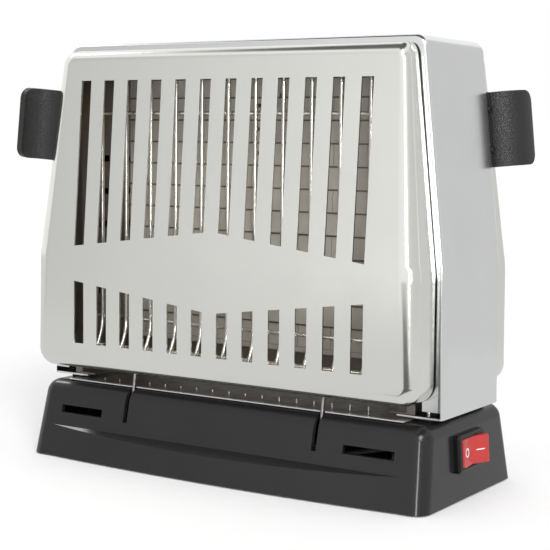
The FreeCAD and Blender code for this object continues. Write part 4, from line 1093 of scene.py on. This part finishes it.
class TOASTER_OT_base(bpy.types.Operator):
    """Finishes the base moulding, its plate, feet and screws, and the deck"""
    bl_idname = "toaster.base"
    bl_label = "Base and deck"

    def execute(self, context):
        s = context.scene.toaster_base
        black = moulding("base_black", s.colour, 0.2, 650.0)
        dress_node("base_shell", "base_part", "base_black", black, s.soft / 2, 2, 30)
        plate = hot_metal("plate_steel", PLATE_STEEL, 0.35)
        dress_node("base_plate", "plate_part", "plate_steel", plate, 0.0002)
        rubber = moulding("foot_rubber", RUBBER, 0.75, bump=0.00004)
        dress_node("rubber_feet", "feet_part", "foot_rubber", rubber, 0.0002, 2, 30)
        steel = hot_metal("screw_steel", SCREW_STEEL, 0.3)
        for node in ("base_screws", "housing_screws", "keeper_screws"):
            dress_node(node, node + "_part", "screw_steel", steel, 0.0002, 2, 50)
        deck = scorched_sheet("deck_chrome", s.deck_colour, DECK_RIM)
        dress_node("deck_tray", "deck_part", "deck_chrome", deck, 0.0003)
        dress_node("cord_bush", "bush_part", "bush_rubber", moulding("bush_rubber", RUBBER, 0.6), 0.0003)
        dress_node("hinge_keepers", "keepers_part", "switch_black", switch_black(), 0.0003)
        return {"FINISHED"}


class TOASTER_OT_switch(bpy.types.Operator):
    """Finishes the rocker switch and prints its on and off marks"""
    bl_idname = "toaster.switch"
    bl_label = "Rocker switch"

    def execute(self, context):
        s = context.scene.toaster_base
        dress_node("switch_body", "switch_part", "switch_black", switch_black(), 0.0002)
        red = moulding("rocker_red", s.rocker_colour, 0.3, 500.0, 0.00001, 0.05)
        dress_node("switch_rocker", "rocker_part", "rocker_red", red, 0.0005, 3, 20, "rocker")
        white = moulding("mark_white", s.mark_colour, 0.4, 500.0, 0.00001)
        for mark, y in ((self.ring(), RING_PLACE), (self.dash(), DASH_PLACE)):
            smooth(settle(mark, self.face(y)))
            dress(mark, "rocker", None, white)
        return {"FINISHED"}

    def face(self, y):
        """From a mark's own plane, X outwards, to its place on the rocker's hollowed face."""
        wall = Vector((BASE_HALF - SWITCH_Z * math.tan(BASE_DRAFT), SWITCH_Y, SWITCH_Z))
        pin = Vector((ROCKER_PIN, 0, 0))
        out = Vector((ROCKER_FACE + abs(y) * math.tan(ROCKER_SLOPE), y, 0))
        lie = -ROCKER_SLOPE if y > 0 else ROCKER_SLOPE
        return (Matrix.Translation(wall) @ Matrix.Rotation(-BASE_DRAFT, 4, "Y")
                @ Matrix.Translation(pin) @ Matrix.Rotation(ROCKER_TILT, 4, "Z")
                @ Matrix.Translation(out - pin) @ Matrix.Rotation(lie, 4, "Z"))

    def ring(self):
        """The off mark: a thin printed ring."""
        obj = settle(add(bpy.ops.mesh.primitive_circle_add, "off_mark", radius=RING_RADIUS, vertices=48,
                         fill_type="NGON", rotation=(0, math.pi / 2, 0)))
        begin_edit(obj, "FACE", "SELECT")
        bpy.ops.mesh.inset(thickness=RING_WIDTH)
        bpy.ops.mesh.delete(type="FACE")
        end_edit()
        apply_modifier(obj, "SOLIDIFY", thickness=MARK_THICK, offset=0)
        soften(obj, 0.00002, 1)
        return obj

    def dash(self):
        """The on mark: a short bar with rounded ends."""
        corner = Vector((MARK_THICK / 2, DASH_HALF, DASH_WIDTH / 2))
        obj = block("on_mark", -corner, corner)
        round_edges(obj, lambda a, b: along(a, b, 0), DASH_ROUND, 4)
        soften(obj, 0.00002, 1)
        return obj


class TOASTER_OT_stage(bpy.types.Operator):
    """Sets the floor, the soft light and the camera"""
    bl_idname = "toaster.stage"
    bl_label = "Studio"

    def execute(self, context):
        s = context.scene.toaster_stage
        floor = add(bpy.ops.mesh.primitive_plane_add, "floor", size=s.floor, location=(0, 0, 0))
        floor.data.materials.append(paper("floor_paper", s.grey))
        for flat in (  # name, strength left and right, place and size
                ("front_flat", s.flat_front * 0.75, s.flat_front * 1.2, (-0.34, -0.55, 0.361), (0.66, 0.72)),
                ("side_flat", s.flat_side, s.flat_side, (0.31, 0.37, 0.251), (0.42, 0.5)),
                ("right_flat", s.flat_side, s.flat_side, (0.75, -0.12, 0.301), (1.0, 0.6)),
                ("dark_flat", 0.1, 0.1, (0.15, -0.535, 0.0008), (0.27, 0.73)),
                ("table_flat", s.flat_table, s.flat_table, (0, 0, 0.0004), (4, 4)),
                ("gleam_flat", s.gleam, s.gleam, (-0.84, 0.1, 0.92), (0.25, 0.35)),
                ("strip_flat", s.strip, s.strip, (0.58, -0.89, 0.17), (0.11, 0.22))):
            self.flat(*flat)
        self.sky(context, s)
        self.lamp(s)
        self.camera(context)
        return {"FINISHED"}

    def flat(self, name, left, right, place, size):
        """A flat that only polished surfaces see: upright and facing the object, or lying on the table."""
        x, y, z = place
        towards = (0, 0, 1) if z < MM else (-x, -y, 0)
        obj = add(bpy.ops.mesh.primitive_plane_add, name, size=1, location=place, rotation=facing(towards))
        obj.scale = (*size, 1)
        settle(obj)
        obj.data.materials.append(glow(name + "_cloth", left, right, x))
        for ray in ("camera", "diffuse", "shadow", "transmission"):
            setattr(obj, "visible_" + ray, False)

    def sky(self, context, s):
        """A plain white surround under a dim ceiling that only polished surfaces see."""
        world = context.scene.world or bpy.data.worlds.new("surround")
        context.scene.world = world
        world.use_nodes = True
        tree = world.node_tree
        rays = tree.nodes.new("ShaderNodeLightPath").outputs
        seen = add_math(tree, "MAXIMUM", rays["Is Camera Ray"],
                        add_math(tree, "MAXIMUM", rays["Is Glossy Ray"], rays["Is Transmission Ray"]))
        height = split(tree, tree.nodes.new("ShaderNodeTexCoord").outputs["Generated"])["Z"]
        dim = add_math(tree, "MULTIPLY", add_range(tree, height, *CEILING), rays["Is Glossy Ray"], clamp=True)
        wire_up(tree, tree.nodes["Background"], Color=add_mix(tree, dim, WHITE, (s.ceiling,) * 3),
                Strength=between(tree, seen, s.light, 1.0))

    def lamp(self, s):
        """A wide key light from the front right."""
        let_go()
        bpy.ops.object.light_add(type="SUN", location=KEY_PLACE)
        key = bpy.context.object
        key.name = "key"
        key.rotation_euler = facing(KEY_PLACE)
        key.data.energy = s.lamp
        key.data.angle = math.radians(30)

    def camera(self, context):
        """A camera at the front right, turned by its own axes, and plain colours."""
        let_go()
        bpy.ops.object.camera_add(location=CAMERA_PLACE)
        camera = bpy.context.object
        camera.name = "camera"
        right = Vector(CAMERA_RIGHT).normalized()
        back = Vector(CAMERA_BACK).normalized()
        up = back.cross(right).normalized()
        camera.rotation_euler = Matrix((right, up, back)).transposed().to_euler()
        camera.data.sensor_fit = "HORIZONTAL"
        camera.data.sensor_width = SENSOR
        camera.data.lens = SENSOR * FOCAL_PIXELS / PICTURE_PIXELS
        camera.data.clip_start = 0.01
        context.scene.camera = camera
        context.scene.view_settings.view_transform = "Standard"


PIECES = (
    TOASTER_OT_housing,
    TOASTER_OT_doors,
    TOASTER_OT_hinges,
    TOASTER_OT_handles,
    TOASTER_OT_guards,
    TOASTER_OT_inside,
    TOASTER_OT_base,
    TOASTER_OT_switch,
    TOASTER_OT_stage,
)


class TOASTER_PT_panel(bpy.types.Panel):
    """Lists the toaster's pieces"""
    bl_idname = "TOASTER_PT_panel"
    bl_label = "Drop side toaster"
    bl_space_type = "VIEW_3D"
    bl_region_type = "UI"
    bl_category = "Toaster"

    def draw(self, context):
        for name in SETTINGS:
            box = self.layout.box()
            settings = getattr(context.scene, name)
            for key in settings.__annotations__:
                box.prop(settings, key)
        for piece in PIECES:
            self.layout.operator(piece.bl_idname)


CLASSES = (*SETTINGS.values(), *PIECES, TOASTER_PT_panel)


def register():
    for kind in CLASSES:
        bpy.utils.register_class(kind)
    for name, kind in SETTINGS.items():
        setattr(bpy.types.Scene, name, bpy.props.PointerProperty(type=kind))


def unregister():
    for name in SETTINGS:
        delattr(bpy.types.Scene, name)
    for kind in reversed(CLASSES):
        bpy.utils.unregister_class(kind)


def main():
    register()
    for piece in PIECES:
        group_name, operator = piece.bl_idname.split(".")
        getattr(getattr(bpy.ops, group_name), operator)()


if __name__ == "__main__":
    main()
